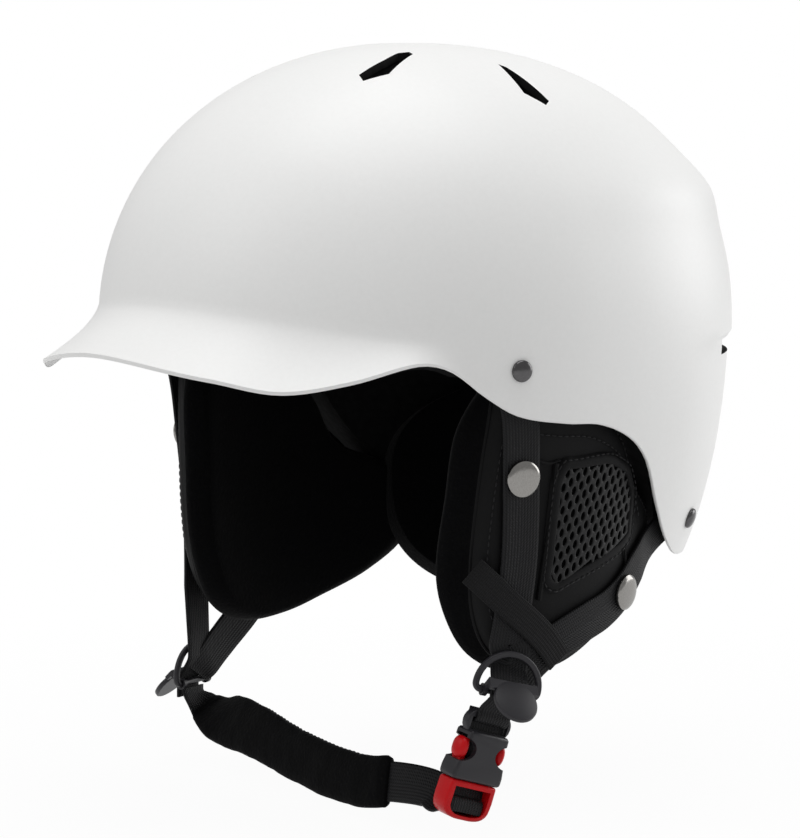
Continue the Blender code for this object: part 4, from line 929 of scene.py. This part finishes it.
def ear_outline(count, free):
    top = []
    for k in range(7):
        turn = EAR_TOP_FROM + (EAR_TOP_TO - EAR_TOP_FROM) * k / 6
        top.append((turn, (edge_height(turn) + EAR_TUCK) / MM))
    return curve_points(top + list(free), count, closed=True)


def ear_path(spots, lift, side, count=None):
    """Path on the ear pad's outer face through (degrees, millimetre) spots."""
    spots = curve_points(spots, count) if count else spots
    return [ear_point(p[0], p[1] * MM, lift, side) for p in spots]


def net_outline(count, grow_mm):
    """Rounded outline of the net window."""
    middle = middle_of(NET_CORNERS)
    corners = []
    for k, corner in enumerate(NET_CORNERS):
        here = Vector(corner)
        before, after = Vector(NET_CORNERS[k - 1]), Vector(NET_CORNERS[(k + 1) % len(NET_CORNERS)])
        ways = ((before, 0.3), (before, 0.12), (after, 0.12), (after, 0.3))
        corners += [here.lerp(way, share) for way, share in ways]
    result = []
    for p in curve_points(corners, count, True):
        away = Vector(((p[0] - middle[0]) * EAR_MM_PER_DEGREE, p[1] - middle[1])).normalized() * grow_mm
        result.append(Vector((p[0] + away[0] / EAR_MM_PER_DEGREE, p[1] + away[1])))
    return result


def inside_outline(point, outline):
    inside = False
    for k, a in enumerate(outline):
        b = outline[k - 1]
        if (a[1] > point[1]) != (b[1] > point[1]):
            at = a[0] + (point[1] - a[1]) / (b[1] - a[1]) * (b[0] - a[0])
            inside ^= point[0] < at
    return inside


def net_tree():
    """Honeycomb sheet: the dual of a triangle grid, each cell drawn in and opened."""
    tree, given = new_tree("spacer_net", Width="Float", Height="Float", Pitch="Float", Opening="Float",
                           Finish="Material")
    wide, tall = [compute(tree, "DIVIDE", given[size], given["Pitch"]) for size in ("Width", "Height")]
    sheet = add(tree, "GeometryNodeMeshGrid", {"Size X": given["Width"], "Size Y": given["Height"],
                                               "Vertices X": wide, "Vertices Y": tall})
    halves = add(tree, "GeometryNodeTriangulate", {"Mesh": sheet.outputs[0]}, quad_method="FIXED")
    cells = add(tree, "GeometryNodeDualMesh", {0: halves.outputs[0]}).outputs[0]
    drawn = add(tree, "GeometryNodeExtrudeMesh", {"Mesh": cells, "Offset Scale": 0.0,
                                                  "Individual": True}).outputs
    shrunk = add(tree, "GeometryNodeScaleElements", {"Geometry": drawn["Mesh"], "Selection": drawn["Top"],
                                                     "Scale": given["Opening"]})
    opened = add(tree, "GeometryNodeDeleteGeometry", {"Geometry": shrunk.outputs[0],
                                                      "Selection": drawn["Top"]}, domain="FACE")
    merged = add(tree, "GeometryNodeMergeByDistance", {"Geometry": opened.outputs[0], "Distance": 0.01 * MM})
    return end_tree(tree, merged.outputs[0], given["Finish"])


NET_TREE = net_tree()


def make_net(side_name, side):
    sheet = grown(placed("net_sheet", bpy.data.meshes.new("net_sheet")), NET_TREE, Width=NET_SHEET,
                  Height=NET_SHEET, Pitch=NET_PITCH, Opening=NET_OPENING, Finish=NET)
    edge = net_outline(90, 0.8)
    turn = Matrix.Rotation(math.radians(NET_LEAN), 2)
    flat = []
    for vertex in sheet.data.vertices:
        skew = turn @ vertex.co.xy
        flat.append((NET_MIDDLE[0] + skew.x / MM / EAR_MM_PER_DEGREE, NET_MIDDLE[1] + skew.y / MM))
    shape = bmesh.new()
    corners = {}
    for face in sheet.data.polygons:
        if not all(inside_outline(flat[k], edge) for k in face.vertices):
            continue
        for k in face.vertices:
            if k not in corners:
                at = ear_point(flat[k][0], flat[k][1] * MM, CLEAR + NET_THICKNESS / 2, side)
                corners[k] = shape.verts.new(at)
        shape.faces.new([corners[k] for k in face.vertices])
    bpy.data.objects.remove(sheet, do_unlink=True)
    net = finish_mesh(f"net_{side_name}", shape, [NET], 50)
    wall = net.modifiers.new("Yarn", "SOLIDIFY")
    wall.thickness = NET_THICKNESS * 0.8
    wall.offset = 0
    smooth = net.modifiers.new("Round", "SUBSURF")
    smooth.levels = smooth.render_levels = 1
    bake(net)
    net.data.shade_smooth()
    hand_in(net, "net", f"ear_net_{side_name}")


def frame_strip(name, path, width, height):
    """Turned-in cloth edge round the net window: a low rounded strip."""
    middle = middle_of(path)
    rows = ((-0.5, -0.45), (-0.5, 0.25), (-0.36, 0.5), (0.05, 0.42), (0.34, 0.1), (0.5, -0.45))

    def ring(point, along):
        out = Vector((point.x, point.y, 0)).normalized()
        across = along.cross(out).normalized()
        if across.dot(point - middle) < 0:
            across = -across
        return [point + across * width * a + out * height * b for a, b in rows]
    return sweep(name, path, ring, [SOFTSHELL], closed=True, sharp=60)


def make_ear_pad(side_name, side):
    degrees = math.degrees(MM / EAR_HALF_WIDTH)
    outline, lining = [[(p[0], p[1] * degrees) for p in ear_outline(132, free)]
                       for free in (EAR_OUTLINE, EAR_LINING)]

    def place(turn, up, depth):
        return ear_point(turn, up / degrees * MM, -depth, side)

    pad = cushion(f"ear_cushion_{side_name}", outline, place, EAR_THICKNESS, [SOFTSHELL, PLUSH], EAR_ROLL,
                  split=0.3, inner_roll=EAR_INNER_ROLL, lining=lining)
    hand_in(pad, "softshell", f"ear_pad_{side_name}")

    middle, reach = spread(outline)

    def on_roll(angle, lift):
        share, depth = rolled(angle, EAR_ROLL, reach, EAR_THICKNESS, EAR_INNER_ROLL)
        spots = [middle + (Vector(p) - middle) * share for p in outline]
        return [place(s[0], s[1], depth - lift) for s in spots]

    border = ear_path(net_outline(110, 1.6), 0.7 * MM, side)
    border_seam = ear_path(net_outline(110, 3.2), 1.45 * MM, side)
    rim = [(turn, edge_height(turn) / MM - 5.5) for turn in range(78, 113, 2)]
    seams = [piping(f"welt_{side_name}", on_roll(24, 0.1 * MM), 0.8 * MM, True),
             stitches(f"edge_stitches_{side_name}", on_roll(74, 0.15 * MM), True),
             frame_strip(f"net_border_{side_name}", border, 4.4 * MM, 1.9 * MM),
             stitches(f"net_stitches_{side_name}", border_seam, True),
             stitches(f"rim_stitches_{side_name}", ear_path(rim, 0.2 * MM, side, 60))]
    for number, (lift, radius, count, spots) in enumerate(EAR_SEAMS):
        path = ear_path(spots, lift * MM, side, count)
        seams.append(piping(f"seam_{number}_{side_name}", path, radius * MM))
    hand_in(joined(f"ear_seams_{side_name}", seams), "softshell")


# Harness

def web_point(turn, z, lift, side):
    """Middle of the webbing: inside the shell near its rivet, on the ear pad below it."""
    half = WEB_THICKNESS / 2
    wall = SHELL_WALL + recess_inside(turn, z)
    under = dome_point(math.radians(turn), z, wall + WEB_UNDER_SHELL + half)
    on_pad = ear_point(turn, z, CLEAR + half + lift)
    share = smooth_step(z, *WEB_FRONT_TUCK) if turn < 90 else smooth_step(turn, *WEB_REAR_TUCK)
    return mirrored(on_pad.lerp(under, share), side)


def outward(point_at, turn, z, side, step):
    """Normal of the surface point_at(turn, z, lift, side), over step degrees and millimetres."""
    rise = step * MM
    ahead = point_at(turn + step, z, 0, side) - point_at(turn - step, z, 0, side)
    upward = point_at(turn, z + rise, 0, side) - point_at(turn, z - rise, 0, side)
    return (ahead.cross(upward) * side).normalized()


def route_webbing(route, count, side, lift):
    """Middle line and width directions along a route, with lift(share) above the pad."""
    spots = curve_points(route, count)
    centres = [web_point(p[0], p[1] * MM, lift(k / (count - 1)), side) for k, p in enumerate(spots)]
    widths = []
    for k, p in enumerate(spots):
        along = centres[min(k + 1, count - 1)] - centres[max(k - 1, 0)]
        widths.append(outward(web_point, p[0], p[1] * MM, side, 0.5).cross(along).normalized())
    return centres, widths


def finer(centres, widths, times):
    count = times * len(centres)
    return curve_points(centres, count), curve_points(widths, count)


def strap_frame(centres, widths, k):
    """Directions across a strap and out of its face."""
    along = (centres[min(k + 1, len(centres) - 1)] - centres[max(k - 1, 0)]).normalized()
    across = (widths[k] - along * widths[k].dot(along)).normalized()
    return across, along.cross(across).normalized()


def strap(name, centres, widths, finish=WEBBING, width=WEB_WIDTH, thickness=WEB_THICKNESS):
    """Flat strap with round selvedges and its own map: metres across and along."""
    centres, widths = finer(centres, widths, 4)
    flat = [-0.95 + 1.9 * k / 8 for k in range(9)]
    section = [(a, 1.0) for a in flat] + [(1.0, 0.4), (1.0, -0.4)]
    section += [(a, -1.0) for a in reversed(flat)] + [(-1.0, -0.4), (-1.0, 0.4)]
    shape = bmesh.new()
    chart = shape.loops.layers.uv.new("strap")
    length = 0.0
    rows = []
    for k, centre in enumerate(centres):
        across, up = strap_frame(centres, widths, k)
        if k:
            length += (centre - centres[k - 1]).length
        row = [shape.verts.new(centre + across * a * width / 2 + up * b * thickness / 2) for a, b in section]
        rows.append((length, row))
    total = len(section)
    for (run0, row0), (run1, row1) in zip(rows, rows[1:]):
        for k in range(total):
            n = (k + 1) % total
            face = shape.faces.new((row0[k], row0[n], row1[n], row1[k]))
            for loop, a, run in zip(face.loops, (k, n, n, k), (run0, run0, run1, run1)):
                loop[chart].uv = (section[a][0] * width / 2, run)
    for _, row in (rows[0], rows[-1]):
        shape.faces.new(row)
    return finish_mesh(name, shape, [finish], 50)


def framed(across, out, rise, origin):
    """Matrix of a local frame with these directions as X, Y and Z."""
    place = Matrix((across, out, rise)).transposed().to_4x4()
    place.translation = origin
    return place


def across_of(place):
    return place.to_3x3() @ Vector((1, 0, 0))


def ring_frame(side_name, side):
    level = RING_LEVEL[side_name]
    out = ear_point(RING_ANGLE, level, 1.0, side) - ear_point(RING_ANGLE, level, 0.0, side)
    across = Vector((math.cos(math.radians(RING_ANGLE)) * side, math.sin(math.radians(RING_ANGLE)), 0))
    lift = WEB_THICKNESS + 3 * CLEAR + RING_BAR_RADIUS + EAR_TAPER * RING_HEIGHT
    roll = math.radians(RING_ROLL[side_name])
    upright = Vector((0, 0, 1))
    bar = across * math.cos(roll) - upright * math.sin(roll)
    rise = upright * math.cos(roll) + across * math.sin(roll)
    return framed(bar, out.normalized(), rise, ear_point(RING_ANGLE, level, lift, side))


def buckle_frame():
    pull = BUCKLE_PULL.normalized()
    face = (BUCKLE_FACE - pull * BUCKLE_FACE.dot(pull)).normalized()
    return framed(face.cross(pull).normalized(), face, pull, BUCKLE_MOUTH)


def bar_wrap():
    """Turn of the webbing round a bar of the buckle, in its local YZ plane."""
    wrap = BUCKLE_BAR / 2 + 2 * CLEAR + WEB_THICKNESS / 2
    shape = ((1.08, -0.7), (1.04, 0.2), (0.86, 0.82), (0.45, 1.0), (0, 1.03), (-0.45, 1.0), (-0.86, 0.82),
             (-1.0, 0.2), (-1.0, -0.5))
    return [(wrap * y, wrap * z) for y, z in shape]


def make_front_strap(side_name, side):
    centres, widths = route_webbing(FRONT_ROUTE, 18, side, lambda share: 0.0)
    place = ring_frame(side_name, side)
    clear = RING_BAR_RADIUS + 2 * CLEAR + WEB_THICKNESS / 2
    arc = RING_HEIGHT
    shape = ((-1.0, arc + 1.5 * MM), (-1.05, arc - 2 * MM), (-0.9, arc - 5 * MM), (0, 0.4 * arc),
             (0.95, 2.6 * MM), (1.15, 0), (1.15, -2.6 * MM))
    drop = [place @ Vector((0, share * clear, z)) for share, z in shape]
    bar_width = across_of(place)
    if side_name == "left":
        buckle = buckle_frame()
        bar = SOCKET_LENGTH + SOCKET_FRAME_LENGTH - BUCKLE_BAR / 2
        tail = [buckle @ Vector((0, y, z - bar)) for y, z in bar_wrap()]
        tail_width = across_of(buckle)
        free = curve_points([centres[-1]] + drop + tail, 33)[1:]
    else:
        lead = [centres[-1].lerp(drop[0], k / 5) for k in range(5)]
        tail = [place @ Vector((0, 1.15 * clear, -RIGHT_TAIL))]
        tail_width = bar_width
        free = curve_points(lead + drop + tail, 25)[1:]
    start_width = widths[-1].normalized()
    if start_width.dot(bar_width) < 0:
        start_width = -start_width
        widths = [-w for w in widths]
    at_bar = 9
    for k in range(len(free)):
        share = min((k + 1) / at_bar, 1.0)
        late = max(min((k - at_bar - 3) / 4, 1.0), 0.0)
        widths.append(start_width.lerp(bar_width, share).lerp(tail_width, late))
    made = strap(f"webbing_front_{side_name}", centres + free, widths)
    hand_in(made, "webbing", f"strap_front_{side_name}")


def make_rear_strap(side_name, side):
    rise = 0 if side > 0 else 2.6 * MM

    def lift(share):
        return rise * smooth_step(share, 0.86, 1.0) - CLEAR * smooth_step(share, 0.74, 0.84)

    route = REAR_ROUTE + REAR_END[side_name]
    made = strap(f"webbing_rear_{side_name}", *route_webbing(route, 32, side, lift))
    hand_in(made, "webbing", f"strap_rear_{side_name}")


def make_keeper(side_name, side):
    def lift(share):
        return (WEB_THICKNESS + 2 * CLEAR) * smooth_step(share, -0.15, 0.12)

    route = KEEPER_ROUTE if side > 0 else KEEPER_ROUTE[2:]
    made = strap(f"keeper_{side_name}", *route_webbing(route, 18, side, lift), TAPE, KEEPER_WIDTH,
                 KEEPER_THICKNESS)
    hand_in(made, "webbing", f"ear_keeper_{side_name}")


def dome_profile(radius, low, height, degrees):
    """Points of a domed head, from its rim upward."""
    angles = [math.radians(a) for a in degrees]
    return [(radius * math.cos(a), low + height * math.sin(a)) for a in angles]


def make_fasteners(side_name, side):
    for end, (turn, level) in RIVETS.items():
        sunk = recess(turn, level * MM)
        base, inner = [dome_point(math.radians(turn), level * MM, sunk + depth) for depth in (0, SHELL_WALL)]
        axis = (base - inner).normalized()
        r, h = RIVET_RADIUS, RIVET_HEIGHT
        profile = [(0, -0.4 * MM), (0.7 * r, -0.4 * MM), (0.98 * r, 0.1 * MM), (r, 0.35 * MM), (r, 0.62 * MM)]
        profile += dome_profile(r, 0.62 * MM, h - 0.4 * MM, range(10, 90, 10)) + [(0, h + 0.22 * MM)]
        made = lathe(f"rivet_head_{end}_{side_name}", profile, mirrored(base, side), mirrored(axis, side),
                     [BLACK_NICKEL])
        hand_in(made, "nickel", f"rivet_{end}_{side_name}")
    for end, (turn, level) in SNAPS.items():
        axis = outward(ear_point, turn, level * MM, side, 1)
        seat = CLEAR + WEB_THICKNESS + SNAP_GAP
        r, h = SNAP_RADIUS, SNAP_HEIGHT
        profile = [(0, seat - 0.55 * MM), (0.9 * r, seat - 0.55 * MM), (0.99 * r, seat - 0.1 * MM),
                   (r, seat + 0.25 * h), (0.985 * r, seat + 0.42 * h), (0.95 * r, seat + 0.5 * h)]
        profile += dome_profile(0.93 * r, seat + 0.5 * h, 0.5 * h, range(12, 90, 12)) + [(0, seat + h)]
        made = lathe(f"snap_dome_{end}_{side_name}", profile, ear_point(turn, level * MM, 0, side), axis,
                     [NICKEL], 48)
        hand_in(made, "nickel", f"snap_cap_{end}_{side_name}")
    for name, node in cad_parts.items():
        if name.startswith(("rivet_washer", "snap_stud")) and name.endswith(side_name):
            node.data.materials.clear()
            node.data.materials.append(NICKEL)


def make_divider(side_name, side):
    place = ring_frame(side_name, side)
    half = RING_WIDTH / 2 - RING_BAR_RADIUS
    corner = RING_CORNER
    turns = [math.radians(a) for a in range(15, 91, 15)]
    bend = [(half - corner + corner * math.sin(a), corner - corner * math.cos(a)) for a in turns]
    path = [(-half + corner + (half - corner) * k / 4, 0) for k in range(9)] + bend
    path += dome_profile(half, corner, RING_HEIGHT - corner, range(6, 180, 6))
    path += [(-x, z) for x, z in reversed(bend)]

    def section(point, along):
        out = Vector((along.z, 0, -along.x))
        ring = []
        for a in round_angles(20):
            groove = 0.26 * math.exp(-((a - math.pi / 2) / 0.34) ** 2)
            r = RING_BAR_RADIUS * 1.06 * (1 - groove)
            ring.append(point + out * r * math.cos(a) + Vector((0, r * math.sin(a), 0)))
        return ring

    ring = sweep(f"d_ring_{side_name}", [Vector((x, 0, z)) for x, z in path], section, [CHARCOAL], True, 60)
    ring.data.transform(place)
    if side > 0:
        ring.data.flip_normals()
    hand_in(ring, "charcoal", f"divider_ring_{side_name}")
    make_flap(side_name, place)


def make_flap(side_name, place):
    local = place @ Matrix.Rotation(math.radians(180 + FLAP_TILT), 4, "X")
    low, high = -FLAP_RISE - FLAP_THICKNESS, -FLAP_RISE
    knuckle_from = WEB_WIDTH / 2 + KNUCKLE_SIDE_GAP
    knuckle_to = knuckle_from + KNUCKLE_LENGTH
    bore = RING_BAR_RADIUS + CLEAR
    hinge = place.translation.copy()
    across = across_of(local).normalized()

    def barrel(name, radius, foot, top):
        profile = ((0, foot), (radius, foot), (radius, top), (0, top))
        return lathe(name, profile, hinge, across, [CHARCOAL], 32)

    r, t = FLAP_RADIUS, FLAP_THICKNESS
    profile = ((0, 0), (r - 0.5 * MM, 0), (r, 0.4 * MM), (r, t - 0.6 * MM), (r - 0.2 * MM, t - 0.18 * MM),
               (r - 0.6 * MM, t), (0, t + 0.05 * MM))
    flap = lathe(f"flap_disc_{side_name}", profile, local @ Vector((0, high, FLAP_START + r)),
                 local.to_3x3() @ Vector((0, -1, 0)), [CHARCOAL], 64, 40)
    tools = [slab("flap_cross", (-knuckle_to, low + 0.2 * MM, FLAP_START + 0.2 * MM),
                  (knuckle_to, high - 0.2 * MM, FLAP_START + 0.5 * r), local, CHARCOAL)]
    for hand in (-1, 1):
        foot, top = sorted((hand * knuckle_from, hand * knuckle_to))
        tools.append(slab(f"flap_arm_{hand + 1}", (foot + 0.1 * MM, low + 0.4 * MM, -0.9 * MM),
                          (top - 0.1 * MM, -0.2 * MM, FLAP_START + 1.9 * MM), local, CHARCOAL))
        tools.append(barrel(f"flap_knuckle_{hand + 1}", bore + KNUCKLE_WALL, foot, top))
    cut(flap, tools, "UNION")
    cut(flap, [barrel("flap_bore", bore, -2 * knuckle_to, 2 * knuckle_to)])
    smoothed(flap.data, 35)
    hand_in(flap, "charcoal", f"divider_flap_{side_name}", body=f"flap_{side_name}")


# Buckle and chin strap

def rounded_pad(name, centre, half, place, finish):
    """Convex thumb pad: a superellipsoid with a soft ridge along its outer edge."""
    rows = 14
    rings = []
    for row in range(1, rows):
        lean = math.pi * (row / rows - 0.5)
        wide, z = math.cos(lean) ** 0.75, signed_power(math.sin(lean), 0.85)
        ring = []
        for turn in round_angles(28):
            x = signed_power(math.cos(turn), 1.25) * wide
            y = signed_power(math.sin(turn), 0.9) * wide
            ring.append(place @ Vector([c + h * part for c, h, part in zip(centre, half, (x, y, z))]))
        rings.append(ring)
    return loft(name, rings, [finish], sharp=70)


def mirrored_prism(name, half_outline, deep, place, finish):
    """Prism over an outline given as its right half."""
    outline = list(half_outline) + [(-x, z) for x, z in reversed(half_outline)]
    return prism(name, outline, -deep, deep, place, finish)


def make_socket(place):
    half, deep = SOCKET_WIDTH / 2, SOCKET_THICKNESS / 2
    top = -SOCKET_LENGTH
    neck = SOCKET_FRAME_WIDTH / 2
    body = ((0.3 * neck, top), (neck - 2.0 * MM, top), (neck - 1.1 * MM, top + 0.8 * MM),
            (neck - 1.0 * MM, top + 3 * MM), (half - 0.9 * MM, 0.45 * top), (half, 0.2 * top), (half, 0))
    socket = softened(mirrored_prism("socket_body", body, deep, place, CHARCOAL), 1.6 * MM, 4, 50)
    bar = BUCKLE_BAR / 2
    frame_top = top - SOCKET_FRAME_LENGTH
    corner = 5 * MM
    turns = [math.radians(a) for a in range(0, 91, 15)]
    yoke = [(neck - corner + corner * math.sin(a), frame_top + corner - corner * math.cos(a)) for a in turns]
    yoke += [(neck - 0.3 * MM, top - 1.2 * MM), (neck - 1.6 * MM, top + 0.8 * MM),
             (neck - 2.4 * MM, top + 2 * MM)]
    yoke = softened(mirrored_prism("socket_yoke", yoke, 1.25 * bar, place, CHARCOAL), 0.8 * MM, 3, 50)
    window = BUCKLE_WINDOW / 2
    cut(yoke, [slab("yoke_window", (-window, -3 * bar, frame_top + BUCKLE_BAR),
                    (window, 3 * bar, top - 0.2 * MM), place, CHARCOAL)])
    cut(socket, [yoke], "UNION")
    inside = half - SOCKET_WALL
    room = PRONG_THICKNESS / 2 + 0.6 * MM
    tools = [slab("socket_room", (-inside, -room, top + 2 * MM), (inside, room, 1 * MM), place, CHARCOAL)]
    notch_wide, notch_tall = 7.0 * MM, 0.53 * NOTCH_LENGTH
    for hand in (-1, 1):
        across = hand * (half + 0.4 * MM)
        ring = [(across + notch_wide * math.cos(a), NOTCH_MIDDLE + notch_tall * math.sin(a))
                for a in round_angles(48)]
        tools.append(prism(f"socket_notch_{hand + 1}", ring, -2 * deep, 2 * deep, place, CHARCOAL))
    cut(socket, tools)
    smoothed(socket.data, 32)
    hand_in(socket, "charcoal", "buckle_socket")


def make_plug(place):
    wide, thick, foot = PLUG_WIDTH / 2, PLUG_THICKNESS / 2, PLUG_LENGTH
    low = foot + PLUG_LIP
    straight, drop = 0.62 * low, 0.38 * low

    def round_foot(half, depth):
        turns = [math.radians(a) for a in (15, 30, 45, 58, 68, 77, 84)]
        return [(half * math.cos(a) ** 0.6, straight + depth * math.sin(a)) for a in turns]

    face = 0.12 * MM
    body = [(0.3 * wide, face), (wide, face), (wide + 0.2 * MM, 0.45 * low), (wide, straight)]
    body = mirrored_prism("plug_body", body + round_foot(wide, drop), thick, place, RED)
    plug = softened(body, 1.1 * MM, 3, 40)
    gap = BUCKLE_WINDOW / 2 - 0.3 * MM
    head = PLUG_BASE - 1.6 * MM
    hole = [(0.3 * gap, head), (gap, head), (gap, straight)] + round_foot(gap, drop - 1.5 * MM)
    cut(plug, [mirrored_prism("plug_window", hole, 2 * thick, place, RED)])
    bar, end = BUCKLE_BAR / 2, gap + MM
    cut(plug, [slab("plug_bar", (-end, -bar, foot - BUCKLE_BAR), (end, bar, foot), place, RED)], "UNION")
    smoothed(plug.data, 32)
    hand_in(plug, "red", "buckle_plug")


def make_prongs(place):
    root = PRONG_WIDTH / 2
    outer = SOCKET_WIDTH / 2 - SOCKET_WALL - CLEAR
    inner = outer - PRONG_WIDTH
    shoulder = -NOTCH_START - 0.6 * MM
    tip = -PRONG_LENGTH
    deep = PRONG_THICKNESS / 2
    turns = [math.radians(a) for a in range(0, 181, 15)]
    shape = [(outer - root + root * math.cos(a), PRONG_SEAT - root + root * math.sin(a)) for a in turns]
    shape += [(inner, tip + 0.6 * MM), (inner + 0.8 * MM, tip), (outer - 0.6 * MM, tip),
              (outer, tip + 0.6 * MM), (outer, shoulder + 0.2 * MM)]
    for hand, end in ((-1, "front"), (1, "rear")):
        outline = [(x * hand, z) for x, z in shape]
        stem = softened(prism(f"prong_stem_{end}", outline, -deep, deep, place, RED), 0.5 * MM)
        pad = rounded_pad(f"prong_pad_{end}", (hand * (outer - 0.7 * MM), 0, NOTCH_MIDDLE),
                          (2.4 * MM, 0.41 * SOCKET_THICKNESS, 0.49 * NOTCH_LENGTH), place, RED)
        hand_in(joined(f"prong_{end}", [stem, pad]), "red", f"buckle_prong_{end}", body=f"prong_{end}")


def chin_path():
    place = buckle_frame()
    bar = PLUG_LENGTH - BUCKLE_BAR / 2
    loop = [place @ Vector((0, y, bar - z)) for y, z in reversed(bar_wrap())]
    divider = ring_frame("right", -1)
    gap = RING_BAR_RADIUS - WEB_THICKNESS / 2
    start = [divider @ Vector((0, gap, -2.6 * MM)), divider @ Vector((0, gap - 1.4 * MM, -6.5 * MM))]
    turn = [place @ (Vector(p[:3]) * MM) for p in CHIN_TURN]
    twists = [math.radians(p[3]) for p in CHIN_TURN]
    spots = start + [Vector(p) * MM for p, _ in CHIN_ROUTE] + turn + loop
    widths = [across_of(divider)] * len(start) + [Vector(w) for _, w in CHIN_ROUTE]
    widths += [place.to_3x3() @ Vector((math.cos(twist), 0, -math.sin(twist))) for twist in twists]
    return finer(spots, widths + [across_of(place)] * len(loop), 3)


def tongue(name, low, high, lean):
    """Second layer of webbing that fills a window of the buckle."""
    place = buckle_frame()
    spots = [place @ Vector((0, lean * (k / 5 - 0.5), low + (high - low) * k / 5)) for k in range(6)]
    hand_in(strap(name, spots, [across_of(place)] * 6, width=WEB_WIDTH + 1.2 * MM), "webbing")


def make_chin():
    centres, widths = chin_path()
    hand_in(strap("webbing_chin", centres, widths), "webbing", "chin_strap")
    tongue("webbing_plug_layer", PLUG_BASE - 1.5 * MM, PLUG_LENGTH - BUCKLE_BAR, 1.2 * MM)
    frame_top = -SOCKET_LENGTH - SOCKET_FRAME_LENGTH
    tongue("webbing_socket_layer", frame_top + BUCKLE_BAR, -SOCKET_LENGTH + 0.2 * MM, 0.6 * MM)
    centres, widths = finer(centres, widths, 6)
    inside = [k for k, c in enumerate(centres) if CHIN_PAD_FROM <= c.x <= CHIN_PAD_TO]
    rings = []
    seam = []
    sides = 40
    seam_side = 37
    half, deep = CHIN_PAD_WIDTH / 2, CHIN_PAD_THICKNESS / 2
    for number, k in enumerate(inside):
        across, up = strap_frame(centres, widths, k)
        share = number / (len(inside) - 1)
        near_end = min(share, 1 - share)
        plump = 0.62 + 0.38 * min(1.0, 6 * near_end) ** 0.5
        plump *= min(1.0, 0.45 + 12 * near_end) ** 0.4
        trim = min(1.0, 0.8 + 8 * near_end) ** 0.5 * (1 - 0.2 * (1 - smooth_step(share, 0.0, 0.16)))
        trim *= 1 + 0.1 * smooth_step(share, 0.05, 0.2) * (1 - smooth_step(share, 0.25, 0.5))
        ring = []
        for angle in round_angles(sides, 0.5):
            x, y = math.cos(angle), math.sin(angle)
            bulge = (abs(x) ** 3 + abs(y) ** 3) ** (-1 / 3)
            spot = centres[k] + across * x * bulge * half * trim + up * y * bulge * deep * plump
            crease = noise.noise(spot / (9 * MM)) * 0.35 * MM + noise.noise(spot / (3.5 * MM)) * 0.12 * MM
            ring.append(spot + (across * x + up * y) * crease * min(1.0, 10 * near_end))
        rings.append(ring)
        if near_end > 0.05:
            seam.append(ring[seam_side])
    pad = loft("chin_cushion", rings, [PLUSH], sharp=70)
    hand_in(pad, "plush", "chin_pad")
    hand_in(stitches("chin_stitches", seam), "plush")


# Studio

def aimed(name, data, place, aim):
    """Lamp or camera at a place, looking at aim."""
    made = placed(name, data)
    made.location = place
    made.rotation_euler = (Vector(aim) - Vector(place)).to_track_quat("-Z", "Y").to_euler()
    return made


def make_floor():
    level = min(corner[2] for corner in CAD_BOX) - 4 * MM
    reach = 3.0
    mesh = bpy.data.meshes.new("floor")
    corners = [(x * reach, y * reach, level) for x, y in ((-1, -1), (1, -1), (1, 1), (-1, 1))]
    mesh.from_pydata(corners, [], [(0, 1, 2, 3)])
    floor = placed("floor", mesh)
    paper, tree, shader = blank("white_paper", 0.9)
    shader.inputs["Base Color"].default_value = linear("#dedede")
    path = add(tree, "ShaderNodeLightPath").outputs
    seen = compute(tree, "MAXIMUM", path["Is Camera Ray"], path["Is Glossy Ray"])
    where = add(tree, "ShaderNodeTexCoord").outputs["Object"]
    away = add(tree, "ShaderNodeVectorMath", {0: where}, operation="LENGTH").outputs["Value"]
    fade = add(tree, "ShaderNodeMapRange", {0: away, 1: 0.15, 2: 0.45, 3: 0.95, 4: 1.0}).outputs[0]
    glow = add(tree, "ShaderNodeEmission", {"Color": (1, 1, 1, 1), "Strength": 1.0})
    mixed = add(tree, "ShaderNodeMixShader", {0: compute(tree, "MULTIPLY", seen, fade), 1: shader.outputs[0],
                                              2: glow.outputs[0]})
    tree.links.new(mixed.outputs[0], tree.nodes["Material Output"].inputs["Surface"])
    mesh.materials.append(paper)


def make_studio():
    scene = bpy.context.scene
    scene.world = bpy.data.worlds.new("studio")
    scene.world.use_nodes = True
    tree = scene.world.node_tree
    path = add(tree, "ShaderNodeLightPath").outputs
    seen = compute(tree, "MAXIMUM", path["Is Camera Ray"], path["Is Transmission Ray"])
    strength = add(tree, "ShaderNodeMapRange", {0: seen, 3: 0.47, 4: 1.0})
    sky = tree.nodes["Background"]
    sky.inputs["Color"].default_value = (1, 1, 1, 1)
    tree.links.new(strength.outputs[0], sky.inputs["Strength"])

    for name, place, size, power in (("overhead_softbox", (0.0, 0.0, 1.5), 1.3, 13.0),
                                     ("front_softbox", (-0.45, -1.3, 0.95), 1.0, 3.6),
                                     ("rear_softbox", (0.5, 1.5, 0.35), 0.9, 8.5)):
        lamp = bpy.data.lights.new(name, "AREA")
        lamp.size = size
        lamp.energy = power
        aimed(name, lamp, place, (0, 0, 0))

    azimuth, elevation, distance = math.radians(48.5), math.radians(5.0), 1.4
    toward = polar(azimuth, math.cos(elevation), math.sin(elevation))
    right = Vector((math.cos(azimuth), math.sin(azimuth), 0))
    aim = right * -1.1 * MM + toward.cross(right) * -37.1 * MM
    lens = bpy.data.cameras.new("photo_camera")
    lens.lens = 156.2
    lens.sensor_width = 36.0
    scene.camera = aimed("photo_camera", lens, toward * distance, aim)
    scene.view_settings.view_transform = "Standard"


make_shell()
make_foam()
make_comfort_pads()
for side_name, side in SIDES:
    make_ear_pad(side_name, side)
    for make in (make_net, make_front_strap, make_rear_strap, make_keeper, make_fasteners, make_divider):
        make(side_name, side)
for make in (make_socket, make_plug, make_prongs):
    make(buckle_frame())
make_chin()
make_floor()
make_studio()
